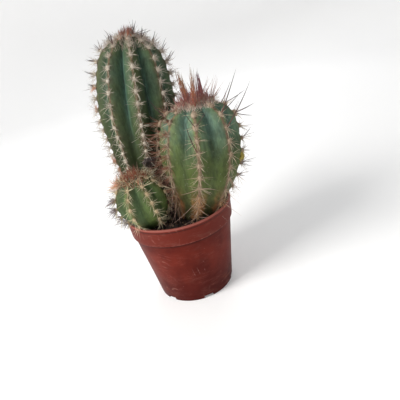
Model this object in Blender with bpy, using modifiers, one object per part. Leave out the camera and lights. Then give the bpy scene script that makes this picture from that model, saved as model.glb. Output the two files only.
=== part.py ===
"""Potted columnar cactus: three ribbed, spiny stems in a small plastic nursery pot of soil.

Units are metres, +Z up. The origin is the centre of the pot's flat base, and -Y is the front.
Each stem is one closed body: its ribbed flesh is a sphere primitive whose points are moved by a
formula, and its spines, which are three-sided needles, are joined to it by one union.
"""

import math
import random

import bmesh
import bpy
from mathutils import Matrix, Vector

MM = 0.001
SHARP_ANGLE = math.radians(35)

# Pot
RIM_RADIUS = 27.5 * MM
POT_HEIGHT = 48.0 * MM
BASE_RADIUS = 20.4 * MM
WALL = 1.0 * MM
FLOOR = 1.2 * MM
BAND_HEIGHT = 9.7 * MM
BAND_TAPER = 0.6 * MM
BAND_STEP = 0.9 * MM
LIP_ROUND = 0.35 * MM
TURN_STEPS = 48
SLOT_COUNT = 6
SLOT_WIDTH = 5.2 * MM
SLOT_HEIGHT = 1.6 * MM
SLOT_INNER = 15.5 * MM
SLOT_TURN = math.radians(-79)

# Soil
GAP = 0.3 * MM
SOIL_TOP = POT_HEIGHT - 4.0 * MM
SOIL_LUMP = 0.55 * MM
LUMP_WAVES = 0.8 / MM
SOIL_COLUMNS = 32
SOIL_TOP_RINGS = 4

# Flesh
COLUMNS_PER_RIB = 6
VALLEY_AT_SOIL = 0.25
VALLEY_RISE = 0.25
CROWN_VALLEYS = (0.45, 0.85)
ROW_SQUEEZE = 0.2
AREOLE_BUMP = 0.8 * MM
BURIED_DEPTH = 11.0 * MM
BURIED_NARROWING = 0.72
HOLE_DEEPER = 0.5 * MM
HOLE_CLEARANCE = 0.4 * MM
HOLE_COLUMNS = 22
HOLE_ABOVE = 5.0 * MM

# Spines
NEEDLE_RADIUS = 0.36 * MM
NEEDLE_SINK = 1.15 * MM
NEEDLE_SPREAD = 0.45 * MM
NEEDLE_CLEARANCE = 0.75 * MM
NEEDLES_PER_AREOLE = 3
TURN_SPREAD = math.radians(18)
BEND_TRIES = 7
BEND_STEP = math.radians(9)
BEND_SHORTER = 0.06
LEAST_LEAN = math.radians(5)
GOLDEN_ANGLE = math.pi * (3 - math.sqrt(5))
LONG_RANGE = (0.68, 0.94)

# Each kind of spine: range of its lean from the areole's normal in degrees, and range of its
# length as a share of the stem's own spine, long or crown length
RADIAL = ((56, 68), (0.8, 1.1))
CENTRAL = ((8, 25), (1.3, 1.7))
LONG = ((12, 42), (0.6, 1.0))
CROWN = ((2, 16), (0.5, 1.0))


class Stem:
    """One ribbed stem. Its centre line runs from base to apex with a sideways bow, and its
    radius follows a smooth curve through (share of height, radius in mm)."""

    def __init__(self, name, base, apex, bow, profile, ribs, areoles, first_rib, rib_depth,
                 spine_length, long_length, crown_length, crown_count, color, seed):
        self.name = name
        self.base = Vector(base) * MM
        self.apex = Vector(apex) * MM
        self.bow = Vector(bow) * MM
        self.profile = [(share, radius * MM) for share, radius in profile]
        self.ribs = ribs
        self.areoles = areoles
        self.first_rib = math.radians(first_rib)
        self.rib_depth = rib_depth
        self.spine_length = spine_length * MM
        self.long_length = long_length * MM
        self.crown_length = crown_length * MM
        self.crown_count = crown_count
        self.color = color
        self.seed = seed
        self.height = self.apex.z - self.base.z
        self.levels = self.areole_levels()

    def centre(self, share):
        """Point of the centre line at a share of the height; below 0 it runs straight down."""
        if share < 0:
            return self.base + Vector((0, 0, share * self.height))
        return self.base.lerp(self.apex, share) + self.bow * (4 * share * (1 - share))

    def frame(self, share):
        """Unit vectors across and along the centre line: right, back and up."""
        step = 0.01
        up = (self.centre(share + step) - self.centre(share - step)).normalized()
        back = up.cross(Vector((1, 0, 0))).normalized()
        right = back.cross(up).normalized()
        return right, back, up

    def radius(self, share):
        """Crest radius. The squared radius is interpolated, which rounds the crown like a dome."""
        if share <= 0:
            first = self.profile[0][1]
            buried = min(1.0, -share * self.height / BURIED_DEPTH)
            return first * (1 + (BURIED_NARROWING - 1) * buried)
        if share >= 1:
            return 0.0
        shares = [point[0] for point in self.profile]
        squares = [point[1] ** 2 for point in self.profile]
        last = len(shares) - 1
        i = max(k for k in range(last) if shares[k] <= share)

        def slope(k):
            low, high = max(k - 1, 0), min(k + 1, last)
            return (squares[high] - squares[low]) / (shares[high] - shares[low])

        width = shares[i + 1] - shares[i]
        t = (share - shares[i]) / width
        square = ((2 * t ** 3 - 3 * t ** 2 + 1) * squares[i]
                  + (t ** 3 - 2 * t ** 2 + t) * width * slope(i)
                  + (3 * t ** 2 - 2 * t ** 3) * squares[i + 1]
                  + (t ** 3 - t ** 2) * width * slope(i + 1))
        return math.sqrt(max(square, 0.0))

    def valley_depth(self, share):
        """Share of the radius lost in a valley: shallow at the soil, deepest near the crown."""
        shallow, deep = self.rib_depth
        low, high = CROWN_VALLEYS
        rise = min(max(share / VALLEY_RISE, 0.0), 1.0)
        top = min(max((share - low) / (high - low), 0.0), 1.0)
        foot = VALLEY_AT_SOIL + (1 - VALLEY_AT_SOIL) * rise
        return shallow * foot + (deep - shallow) * top * top * (3 - 2 * top)

    def surface(self, share, angle, extra=0.0):
        """Point of the flesh. A rib is a rounded crest with a sharp valley on either side."""
        wave = abs(math.cos(self.ribs * (angle - self.first_rib) / 2))
        reach = self.radius(share) * (1 - self.valley_depth(share) * (1 - wave)) + extra
        right, back, _ = self.frame(share)
        return self.centre(share) + (right * math.cos(angle) + back * math.sin(angle)) * reach

    def normal(self, share, angle):
        """Outward normal of the crest surface, from the profile's slope."""
        step = 0.01
        low, high = max(share - step, 0.0), min(share + step, 1.0)
        along = self.surface(high, angle) - self.surface(low, angle)
        right, back, up = self.frame(share)
        out = right * math.cos(angle) + back * math.sin(angle)
        side = up.cross(out)
        return side.cross(along).normalized()

    def areole_levels(self):
        """Height shares of the areole rows, two to each areole of a rib because neighbouring
        ribs are staggered. They are evenly spaced along the crest, closer at both ends."""
        samples = 400
        reach = [0.0]
        for k in range(samples):
            low, high = k / samples, (k + 1) / samples
            rise = self.height / samples
            reach.append(reach[-1] + math.hypot(rise, self.radius(high) - self.radius(low)))
        rows = 2 * self.areoles
        levels = []
        for row in range(rows):
            even = (row + 1.2) / (rows + 1.4)
            wanted = reach[-1] * (even - ROW_SQUEEZE * math.sin(2 * math.pi * even) / (2 * math.pi))
            k = max(i for i in range(samples) if reach[i] <= wanted)
            levels.append((k + (wanted - reach[k]) / (reach[k + 1] - reach[k])) / samples)
        return levels

    def rib_angle(self, rib):
        return self.first_rib + 2 * math.pi * rib / self.ribs

    def clear_by(self, point):
        """Distance from a point to the crests, negative inside."""
        share = (point.z - self.base.z) / self.height
        if share < -0.1 or share > 1.02:
            return (point - self.centre(min(max(share, 0.0), 1.0))).length
        offset = point - self.centre(share)
        _, _, up = self.frame(share)
        flat = (offset - up * offset.dot(up)).length
        return flat - self.radius(min(share, 1.0)) - AREOLE_BUMP


TALL = Stem(
    "tall_stem", base=(-10.5, 11.5, 44), apex=(-2.6, 17.0, 131), bow=(-1.6, 1.1, 0),
    profile=[(0, 9.0), (0.15, 12.0), (0.3, 15.4), (0.45, 17.4), (0.6, 19.2), (0.75, 18.3),
             (0.9, 14.8), (1, 0)],
    ribs=9, areoles=15, first_rib=-87.7, rib_depth=(0.22, 0.27),
    spine_length=5.2, long_length=7.5, crown_length=8.0, crown_count=22,
    color=(0.10, 0.19, 0.09), seed=11)
ROUND = Stem(
    "round_stem", base=(8.7, -4.0, 44), apex=(19.0, -7.0, 98.5), bow=(2.6, -1.3, 0),
    profile=[(0, 11.2), (0.15, 13.4), (0.3, 16.6), (0.45, 18.6), (0.62, 19.2), (0.78, 18.1),
             (0.9, 15.0), (1, 0)],
    ribs=8, areoles=11, first_rib=-101.2, rib_depth=(0.17, 0.28),
    spine_length=5.6, long_length=17.0, crown_length=15.0, crown_count=34,
    color=(0.13, 0.24, 0.09), seed=23)
SMALL = Stem(
    "small_stem", base=(-13.3, -5.6, 44), apex=(-17.3, -14.3, 73), bow=(-0.8, -1.4, 0),
    profile=[(0, 7.0), (0.16, 8.0), (0.35, 11.0), (0.55, 11.9), (0.75, 10.6), (0.9, 7.4),
             (1, 0)],
    ribs=7, areoles=6, first_rib=-62.0, rib_depth=(0.16, 0.22),
    spine_length=5.0, long_length=6.0, crown_length=6.0, crown_count=14,
    color=(0.11, 0.22, 0.09), seed=37)
STEMS = [SMALL, ROUND, TALL]

# Two knobs: a dried bud low on the tall stem, and a swollen yellow scar on the round one.
DRIED_BUD = dict(stem=TALL, share=0.335, angle=math.radians(-88), radius=2.4 * MM)
YELLOW_SCAR = dict(stem=ROUND, share=0.52, angle=math.radians(-8), radius=2.5 * MM)


def clear_scene():
    for obj in list(bpy.data.objects):
        bpy.data.objects.remove(obj)


def new_collection(name):
    made = bpy.data.collections.new(name)
    bpy.context.scene.collection.children.link(made)
    return made


def new_material(name, color, roughness):
    material = bpy.data.materials.new(name)
    material.use_nodes = True
    shader = material.node_tree.nodes["Principled BSDF"]
    shader.inputs["Base Color"].default_value = (*color, 1)
    shader.inputs["Roughness"].default_value = roughness
    shader.inputs["Metallic"].default_value = 0.0
    return material


def object_from_bmesh(name, shape, collection, material=None):
    mesh = bpy.data.meshes.new(name)
    shape.to_mesh(mesh)
    shape.free()
    obj = bpy.data.objects.new(name, mesh)
    collection.objects.link(obj)
    if material:
        mesh.materials.append(material)
    return obj


def hide_as_cutter(obj):
    obj.hide_render = True
    obj.display_type = "WIRE"


def shade_round(obj):
    """Smooth shading with the real edges kept sharp."""
    obj.data.shade_smooth()
    obj.data.set_sharp_from_angle(angle=SHARP_ANGLE)


def apply_boolean(target, collection, operation, solver):
    """Joins or cuts with every object of a collection, then removes those objects."""
    modifier = target.modifiers.new(operation.lower(), "BOOLEAN")
    modifier.operation = operation
    modifier.operand_type = "COLLECTION"
    modifier.collection = collection
    modifier.solver = solver
    bpy.context.view_layer.objects.active = target
    bpy.ops.object.modifier_apply(modifier=modifier.name)
    for obj in list(collection.objects):
        bpy.data.objects.remove(obj)
    bpy.data.collections.remove(collection)


def inner_wall(height):
    """Inner radius of the pot at a height: the body's taper, then the wider band."""
    band_bottom = POT_HEIGHT - BAND_HEIGHT
    band_low = RIM_RADIUS - BAND_TAPER
    if height >= band_bottom + WALL:
        share = (height - band_bottom) / BAND_HEIGHT
        return band_low + BAND_TAPER * share - WALL
    share = height / band_bottom
    return BASE_RADIUS + (band_low - BAND_STEP - BASE_RADIUS) * share - WALL


def build_pot(collection):
    """A turned shell: floor, tapering body, a step, and the band with its rounded lip."""
    band_bottom = POT_HEIGHT - BAND_HEIGHT
    band_low = RIM_RADIUS - BAND_TAPER
    body_top = band_low - BAND_STEP
    lip = LIP_ROUND
    profile = [
        (0, FLOOR),
        (inner_wall(FLOOR), FLOOR),
        (body_top - WALL, band_bottom),
        (band_low - WALL, band_bottom + WALL),
        (RIM_RADIUS - WALL, POT_HEIGHT - lip),
        (RIM_RADIUS - WALL + lip, POT_HEIGHT),
        (RIM_RADIUS - lip, POT_HEIGHT),
        (RIM_RADIUS, POT_HEIGHT - lip),
        (band_low, band_bottom + lip),
        (band_low - lip, band_bottom),
        (body_top, band_bottom - lip),
        (BASE_RADIUS, lip),
        (BASE_RADIUS - lip, 0),
        (0, 0),
    ]
    mesh = bpy.data.meshes.new("pot")
    mesh.from_pydata([(x, 0, z) for x, z in profile],
                     [(k, k + 1) for k in range(len(profile) - 1)], [])
    mesh.materials.append(new_material("pot_plastic", (0.36, 0.085, 0.05), 0.42))
    pot = bpy.data.objects.new("pot", mesh)
    collection.objects.link(pot)
    turn = pot.modifiers.new("turn", "SCREW")
    turn.axis = "Z"
    turn.steps = TURN_STEPS
    turn.render_steps = TURN_STEPS
    turn.use_merge_vertices = True
    turn.merge_threshold = 0.00001
    bpy.context.view_layer.objects.active = pot
    bpy.ops.object.modifier_apply(modifier=turn.name)

    cutters = new_collection("slot_cutters")
    length = BASE_RADIUS - SLOT_INNER + 2 * MM
    for k in range(SLOT_COUNT):
        shape = bmesh.new()
        bmesh.ops.create_cube(shape, size=1)
        turned = Matrix.Rotation(SLOT_TURN + 2 * math.pi * k / SLOT_COUNT, 4, "Z")
        moved = Matrix.Translation((SLOT_INNER + length / 2, 0, 0))
        sized = Matrix.Diagonal((length, SLOT_WIDTH, 2 * SLOT_HEIGHT, 1))
        bmesh.ops.transform(shape, matrix=turned @ moved @ sized, verts=shape.verts)
        hide_as_cutter(object_from_bmesh(f"slot_{k}", shape, cutters))
    apply_boolean(pot, cutters, "DIFFERENCE", "EXACT")
    shade_round(pot)


def sphere_levels(levels, columns, place):
    """A closed body from a sphere primitive: place(level, angle) gives each ring's points, and
    the first and last levels are the two poles."""
    shape = bmesh.new()
    bmesh.ops.create_uvsphere(shape, u_segments=columns, v_segments=len(levels) - 1, radius=1)
    for vert in shape.verts:
        polar = math.acos(min(max(-vert.co.z, -1), 1))
        row = round(polar / math.pi * (len(levels) - 1))
        vert.co = place(levels[row], math.atan2(vert.co.y, vert.co.x))
    return shape


def build_soil(collection):
    """Fills the pot to just under the rim, lumpy on top, with a plain hole for each stem."""
    bottom = FLOOR + GAP
    step_height = POT_HEIGHT - BAND_HEIGHT
    side = [bottom, step_height, step_height + WALL + GAP, SOIL_TOP]
    rings = [(inner_wall(height) - GAP, height) for height in side]
    rings[1] = (inner_wall(step_height - GAP) - GAP, step_height)
    edge = rings[-1][0]
    top = [(edge * (1 - k / SOIL_TOP_RINGS), SOIL_TOP) for k in range(1, SOIL_TOP_RINGS)]
    levels = [(0, bottom)] + rings + top + [(0, SOIL_TOP)]

    def place(level, angle):
        radius, height = level
        x, y = radius * math.cos(angle), radius * math.sin(angle)
        if height == SOIL_TOP and radius < edge:
            u, v = x * LUMP_WAVES, y * LUMP_WAVES
            lump = math.sin(u + 1) * math.sin(v) + 0.6 * math.sin(2.3 * u - 1.7 * v)
            height += SOIL_LUMP * lump
        return Vector((x, y, height))

    shape = sphere_levels(levels, SOIL_COLUMNS, place)
    soil = object_from_bmesh("soil", shape, collection,
                             new_material("soil", (0.045, 0.028, 0.02), 0.95))
    cutters = new_collection("hole_cutters")
    for stem in STEMS:
        deep = -(BURIED_DEPTH + HOLE_DEEPER) / stem.height
        above = HOLE_ABOVE / stem.height
        shares = [deep, deep, deep / 2, 0, above / 2, above, above]

        def hole_point(level, angle, stem=stem, shares=shares):
            share = shares[level]
            at_end = level in (0, len(shares) - 1)
            reach = 0 if at_end else stem.radius(share) + HOLE_CLEARANCE
            right, back, _ = stem.frame(share)
            return stem.centre(share) + (right * math.cos(angle) + back * math.sin(angle)) * reach

        shape = sphere_levels(range(len(shares)), HOLE_COLUMNS, hole_point)
        hide_as_cutter(object_from_bmesh(f"hole_{stem.name}", shape, cutters))
    apply_boolean(soil, cutters, "DIFFERENCE", "EXACT")
    shade_round(soil)


def clear_of_pot(point):
    """True where a point stays clear of the soil's top and of the pot's wall."""
    flat = math.hypot(point.x, point.y)
    if point.z > POT_HEIGHT + NEEDLE_CLEARANCE or flat > RIM_RADIUS + NEEDLE_CLEARANCE:
        return True
    over_soil = point.z > SOIL_TOP + 1.6 * SOIL_LUMP + NEEDLE_CLEARANCE
    return over_soil and flat < RIM_RADIUS - WALL - NEEDLE_CLEARANCE


def build_flesh(stem, collection):
    """The ribbed body, buried end included, with a bump at each areole."""
    columns = stem.ribs * COLUMNS_PER_RIB
    deep = -BURIED_DEPTH / stem.height
    buried = [deep, deep, 0]
    shares = buried + stem.levels + [1]
    pitch = 2 * math.pi / columns

    def place(level, angle):
        share = shares[level]
        if level == 0:
            return stem.centre(share)
        turned = stem.first_rib + round((angle - stem.first_rib) / pitch) * pitch
        column = round((turned - stem.first_rib) / pitch) % columns
        rib, at_crest = divmod(column, COLUMNS_PER_RIB)
        row = level - len(buried)
        raised = stem.surface(share, turned, AREOLE_BUMP)
        bump = at_crest == 0 and 0 <= row < len(stem.levels) and (row + rib) % 2 == 0
        return raised if bump and clear_of_pot(raised) else stem.surface(share, turned)

    shape = sphere_levels(range(len(shares)), columns, place)
    material = new_material(stem.name, stem.color, 0.5)
    return object_from_bmesh(stem.name, shape, collection, material)


def segments_apart(a, b):
    """Least distance between two needles, by samples along both."""
    steps = 6
    least = 1.0
    for i in range(steps + 1):
        p = a[0].lerp(a[1], i / steps)
        along = b[1] - b[0]
        t = min(max((p - b[0]).dot(along) / along.length_squared, 0), 1)
        least = min(least, (p - b[0] - along * t).length)
    return least


def is_clear(stem, start, tip, placed):
    """True if a needle keeps off the other stems and their needles, the pot and the soil."""
    steps = 12
    for i in range(steps + 1):
        point = start.lerp(tip, i / steps)
        if any(other.clear_by(point) < NEEDLE_CLEARANCE for other in STEMS if other is not stem):
            return False
        if not clear_of_pot(point):
            return False
    return all(owner is stem or segments_apart((start, tip), (other_start, other_tip))
               > 2 * NEEDLE_RADIUS + 0.2 * MM for owner, other_start, other_tip in placed)


def add_needle(collection, start, tip):
    """A slim three-sided cone from start to tip."""
    along = tip - start
    shape = bmesh.new()
    bmesh.ops.create_cone(shape, cap_ends=True, segments=3, radius1=NEEDLE_RADIUS, radius2=0,
                          depth=along.length)
    turned = along.to_track_quat("Z", "Y").to_matrix().to_4x4()
    bmesh.ops.transform(shape, matrix=Matrix.Translation(start.lerp(tip, 0.5)) @ turned,
                        verts=shape.verts)
    object_from_bmesh("needle", shape, collection)


def try_needle(stem, collection, placed, foot, normal, sideways, lean, length):
    """Places a needle that leans by an angle from the normal, or bends it clear, or leaves it out."""
    for bend in range(BEND_TRIES):
        angle = max(lean - BEND_STEP * bend, LEAST_LEAN)
        reach = length * (1 - BEND_SHORTER * bend)
        heading = normal * math.cos(angle) + sideways * math.sin(angle)
        start = foot - normal * NEEDLE_SINK + sideways * NEEDLE_SPREAD
        tip = foot + sideways * NEEDLE_SPREAD + heading * reach
        if is_clear(stem, foot, tip, placed):
            add_needle(collection, start, tip)
            placed.append((stem, foot, tip))
            return


def draw_kind(draw, kind, length):
    """A lean in radians and a length, drawn from a kind of spine's two ranges."""
    lean, share = kind
    return math.radians(draw.uniform(*lean)), length * draw.uniform(*share)


def needle_rule(stem, share, row, rib, k, draw):
    """Turn round the areole, lean from its normal and length of needle k. The first needle is a
    standing central spine on every third areole, and near the crown a long one that points up."""
    spread = draw.uniform(-TURN_SPREAD, TURN_SPREAD)
    turn = math.radians(120 * k - 90 + 60 * (row // 2 % 2)) + spread
    if k == 0 and LONG_RANGE[0] < share < LONG_RANGE[1]:
        return math.pi / 2 + spread, *draw_kind(draw, LONG, stem.long_length)
    if k == 0 and (row // 2 + rib) % 3 == 0:
        return turn, *draw_kind(draw, CENTRAL, stem.spine_length)
    return turn, *draw_kind(draw, RADIAL, stem.spine_length)


def add_areole_needles(stem, collection, placed):
    """A star of needles on each areole, turned from one areole to the next."""
    draw = random.Random(stem.seed)
    for row, share in enumerate(stem.levels):
        for rib in range(row % 2, stem.ribs, 2):
            angle = stem.rib_angle(rib)
            normal = stem.normal(share, angle)
            foot = stem.surface(share, angle, AREOLE_BUMP)
            _, _, up = stem.frame(share)
            across = up.cross(normal).normalized()
            along = normal.cross(across)
            for k in range(NEEDLES_PER_AREOLE):
                turn, lean, length = needle_rule(stem, share, row, rib, k, draw)
                sideways = across * math.cos(turn) + along * math.sin(turn)
                try_needle(stem, collection, placed, foot, normal, sideways, lean, length)


def add_crown_needles(stem, collection, placed):
    """A tuft of long spines round the apex, on a sunflower spiral out to the last areole rows."""
    draw = random.Random(stem.seed + 1)
    edge_share = stem.levels[-3]
    for k in range(stem.crown_count):
        out = math.sqrt((k + 0.5) / stem.crown_count)
        share = 1 - (1 - edge_share) * out ** 2
        angle = GOLDEN_ANGLE * k
        foot = stem.surface(share, angle)
        _, _, up = stem.frame(share)
        normal = (stem.normal(share, angle) * out + up * (1.6 - out)).normalized()
        sideways = foot - stem.centre(share)
        sideways = (sideways - normal * sideways.dot(normal)).normalized()
        lean, length = draw_kind(draw, CROWN, stem.crown_length)
        try_needle(stem, collection, placed, foot, normal, sideways, lean, length)


def add_growth(growth, collection):
    """A small knob on a rib, sunk by half."""
    stem = growth["stem"]
    shape = bmesh.new()
    bmesh.ops.create_icosphere(shape, subdivisions=1, radius=growth["radius"])
    where = stem.surface(growth["share"], growth["angle"])
    bmesh.ops.translate(shape, vec=where, verts=shape.verts)
    object_from_bmesh("growth", shape, collection)


def build_stem(stem, collection, placed):
    flesh = build_flesh(stem, collection)
    repeats = new_collection(stem.name + "_repeats")
    add_crown_needles(stem, repeats, placed)
    add_areole_needles(stem, repeats, placed)
    for growth in (DRIED_BUD, YELLOW_SCAR):
        if growth["stem"] is stem:
            add_growth(growth, repeats)
    apply_boolean(flesh, repeats, "UNION", "MANIFOLD")
    shade_round(flesh)


def main():
    clear_scene()
    plant = new_collection("potted_cactus")
    build_pot(plant)
    build_soil(plant)
    placed = []
    for stem in STEMS:
        build_stem(stem, plant, placed)


main()
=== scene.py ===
import math

import bpy
import numpy as np
from mathutils import Matrix


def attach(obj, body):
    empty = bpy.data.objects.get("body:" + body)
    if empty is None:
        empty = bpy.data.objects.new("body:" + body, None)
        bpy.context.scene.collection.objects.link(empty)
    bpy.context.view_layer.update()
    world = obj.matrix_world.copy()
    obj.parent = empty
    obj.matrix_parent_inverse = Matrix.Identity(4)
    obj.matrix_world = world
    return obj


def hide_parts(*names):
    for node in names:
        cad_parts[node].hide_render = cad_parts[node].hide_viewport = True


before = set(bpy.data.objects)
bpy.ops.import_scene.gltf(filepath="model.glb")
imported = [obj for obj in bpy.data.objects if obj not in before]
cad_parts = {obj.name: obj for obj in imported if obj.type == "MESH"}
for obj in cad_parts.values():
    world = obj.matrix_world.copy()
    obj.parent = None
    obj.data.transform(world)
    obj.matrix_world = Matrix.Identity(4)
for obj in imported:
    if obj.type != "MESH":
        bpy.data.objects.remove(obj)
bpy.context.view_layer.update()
print("frame loaded:", ", ".join(sorted(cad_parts)))

# Lengths below are in millimetres; meshes are scaled to metres when they are made.
mm = 0.001
goldenAngle = math.pi * (3 - math.sqrt(5))
bakeMap = "OFBake"  # name of the map that skins and spines carry for their colours


# Node helpers

class Number:
    # A number socket in a material; arithmetic on it adds Math nodes.
    def __init__(self, paint, socket):
        self.paint = paint
        self.socket = socket

    def combine(self, operation, first, second):
        made = self.paint.node("Math", {"operation": operation}, {0: first, 1: second})
        return Number(self.paint, made.outputs[0])

    def __add__(self, other):
        return self.combine("ADD", self, other)

    def __radd__(self, other):
        return self.combine("ADD", other, self)

    def __sub__(self, other):
        return self.combine("SUBTRACT", self, other)

    def __rsub__(self, other):
        return self.combine("SUBTRACT", other, self)

    def __mul__(self, other):
        return self.combine("MULTIPLY", self, other)

    def __rmul__(self, other):
        return self.combine("MULTIPLY", other, self)

    def toWhole(self):
        # distance to the nearest whole number
        return self.combine("PINGPONG", self, 0.5)

    def step(self, low, high):
        # 0 below low, 1 above high, with a smooth rise between them
        made = self.paint.node("MapRange", {"interpolation_type": "SMOOTHSTEP"},
                               {"Value": self, "From Min": low, "From Max": high})
        return Number(self.paint, made.outputs["Result"])


class Paint:
    # One material and its nodes; look holds its colours, and colour is what is painted so far.
    def __init__(self, name, look=None):
        self.look = look
        self.material = bpy.data.materials.new(name)
        self.material.use_nodes = True
        self.tree = self.material.node_tree
        self.shader = self.tree.nodes["Principled BSDF"]

    def node(self, kind, settings=None, inputs=None):
        made = self.tree.nodes.new("ShaderNode" + kind)
        for name, value in (settings or {}).items():
            if name == "stops":
                ramp = made.color_ramp.elements
                for extra in range(len(value) - 2):
                    ramp.new(0.5)
                for element, (place, colour) in zip(ramp, value):
                    element.position = place
                    element.color = (*colour, 1)
            else:
                setattr(made, name, value)
        for key, value in (inputs or {}).items():
            self.feed(made.inputs[key], value)
        return made

    def feed(self, socket, value):
        if isinstance(value, Number):
            self.tree.links.new(value.socket, socket)
        elif isinstance(value, bpy.types.NodeSocket):
            self.tree.links.new(value, socket)
        elif isinstance(value, tuple) and len(value) == 3 and socket.type == "RGBA":
            socket.default_value = (*value, 1)
        else:
            socket.default_value = value

    def attribute(self, name):
        made = self.node("Attribute", {"attribute_name": name})
        return Number(self, made.outputs["Fac"])

    def place(self, stretch=(1, 1, 1)):
        # object coordinates in millimetres, stretched along each axis
        coordinates = self.node("TexCoord").outputs["Object"]
        sizes = tuple(share / mm for share in stretch)
        made = self.node("VectorMath", {"operation": "MULTIPLY"}, {0: coordinates, 1: sizes})
        return made.outputs[0]

    def height(self):
        # height above the base in millimetres
        made = self.node("SeparateXYZ", inputs={0: self.place()})
        return Number(self, made.outputs["Z"])

    def noise(self, waves, detail=3.0, roughness=0.55, stretch=(1, 1, 1)):
        # waves is how many lumps there are to a millimetre
        made = self.node("TexNoise", inputs={"Vector": self.place(stretch), "Scale": waves,
                                             "Detail": detail, "Roughness": roughness})
        return Number(self, made.outputs[0])

    def spots(self, waves):
        # distance to the nearest of many scattered points, in cells
        made = self.node("TexVoronoi", inputs={"Vector": self.place(), "Scale": waves})
        return Number(self, made.outputs["Distance"])

    def ramp(self, value, stops):
        return self.node("ValToRGB", {"stops": stops}, {0: value}).outputs[0]

    def mix(self, share, first, second):
        made = self.node("Mix", {"data_type": "RGBA"}, {0: share, 6: first, 7: second})
        return made.outputs[2]

    def shade(self, colour, amount):
        # the colour times a number
        made = self.node("VectorMath", {"operation": "SCALE"}, {0: colour, "Scale": amount})
        return made.outputs[0]

    def cover(self, share, key):
        # lays one of the look's colours over what is painted so far
        self.colour = self.mix(share, self.colour, self.look[key])

    def dim(self, amount):
        self.colour = self.shade(self.colour, amount)

    def finish(self, colour, roughness, bumps=None, depth=0):
        # bumps is a height as a share of depth, which is in millimetres
        self.feed(self.shader.inputs["Base Color"], colour)
        self.feed(self.shader.inputs["Roughness"], roughness)
        if bumps is not None:
            made = self.node("Bump", inputs={"Strength": 1.0, "Distance": depth * mm,
                                             "Height": bumps})
            self.feed(self.shader.inputs["Normal"], made.outputs[0])
        return self.material


# Mesh helpers

def putMesh(name, points, faces, values=None, corners=None):
    # points in mm; faces is a list of whole-number arrays, each of quads or of triangles;
    # values is {attribute: one number per point}; corners is each face corner's place on the map
    mesh = bpy.data.meshes.new(name)
    points = np.asarray(points, dtype=np.float64).reshape(-1, 3) * mm
    counts = np.concatenate([np.full(len(face), face.shape[1]) for face in faces])
    order = np.concatenate([face.ravel() for face in faces])
    mesh.vertices.add(len(points))
    mesh.vertices.foreach_set("co", points.ravel())
    mesh.loops.add(len(order))
    mesh.loops.foreach_set("vertex_index", order.astype(np.int32))
    mesh.polygons.add(len(counts))
    mesh.polygons.foreach_set("loop_start", (np.cumsum(counts) - counts).astype(np.int32))
    mesh.update(calc_edges=True)
    mesh.shade_smooth()
    for label, numbers in (values or {}).items():
        layer = mesh.attributes.new(label, "FLOAT", "POINT")
        layer.data.foreach_set("value", np.asarray(numbers, dtype=np.float32).ravel())
    if corners is not None:
        layer = mesh.uv_layers.new(name=bakeMap)
        layer.data.foreach_set("uv", np.asarray(corners, dtype=np.float32).ravel())
    made = bpy.data.objects.new(name, mesh)
    bpy.context.scene.collection.objects.link(made)
    return made


def skinFaces(rows, columns):
    # Faces of a closed skin: rings of points in order from its first pole to its last, then the
    # two poles as the last two points. Also each face corner's column and row, for the map.
    row, column = np.meshgrid(np.arange(rows - 1), np.arange(columns), indexing="ij")
    cornerRow = np.stack([row, row, row + 1, row + 1], -1).reshape(-1, 4)
    cornerColumn = np.stack([column, column + 1, column + 1, column], -1).reshape(-1, 4)
    quads = cornerRow * columns + cornerColumn % columns
    here = np.arange(columns)
    after = (here + 1) % columns
    bottom = np.full(columns, rows * columns)
    last = (rows - 1) * columns
    fans = np.concatenate([np.stack([after, here, bottom], -1),
                           np.stack([last + here, last + after, bottom + 1], -1)])
    zero, top = np.zeros(columns, int), np.full(columns, rows - 1)
    fanColumn = np.concatenate([np.stack([here + 1, here, here], -1),
                                np.stack([here, here + 1, here], -1)])
    fanRow = np.concatenate([np.stack([zero, zero, zero - 1], -1),
                             np.stack([top, top, top + 1], -1)])
    return quads, fans, (cornerColumn, cornerRow), (fanColumn, fanRow)


def skinMesh(name, rings, bottom, top, values=None, mapped=False):
    # rings is a grid of points, rows by columns; the poles close it
    rows, columns = rings.shape[:2]
    quads, fans, quadAt, fanAt = skinFaces(rows, columns)
    points = np.concatenate([rings.reshape(-1, 3), [bottom, top]])
    corners = None
    if mapped:
        across = np.concatenate([quadAt[0].ravel(), fanAt[0].ravel()]) / columns
        upward = (np.concatenate([quadAt[1].ravel(), fanAt[1].ravel()]) + 1) / (rows + 1)
        corners = np.stack([across, upward], -1)
    full = {label: np.append(np.ravel(numbers), [np.ravel(numbers)[0], np.ravel(numbers)[-1]])
            for label, numbers in (values or {}).items()}
    return putMesh(name, points, [quads, fans], full, corners)


def norm(vectors):
    return np.linalg.norm(vectors, axis=-1, keepdims=True)


def unit(vectors):
    return vectors / np.maximum(norm(vectors), 1e-12)


def circle(count):
    # angles evenly round a circle
    return np.linspace(0, 2 * np.pi, count, endpoint=False)


def wobble(points, waves, seed):
    # smooth noise, mostly from -1 to 1: 1.6 times the mean of six sine waves in seeded directions
    draw = np.random.default_rng(seed)
    ways = unit(draw.normal(size=(6, 3))) * waves * draw.uniform(0.6, 1.7, (6, 1))
    return np.sin(points @ ways.T + draw.uniform(0, 2 * np.pi, 6)).mean(-1) * 1.6


def manySkins(rows, columns, count):
    # faces of count closed skins whose points follow one another
    quads, fans, _, _ = skinFaces(rows, columns)
    start = np.arange(count)[:, None, None] * (rows * columns + 2)
    return (quads[None] + start).reshape(-1, 4), (fans[None] + start).reshape(-1, 3)


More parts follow.
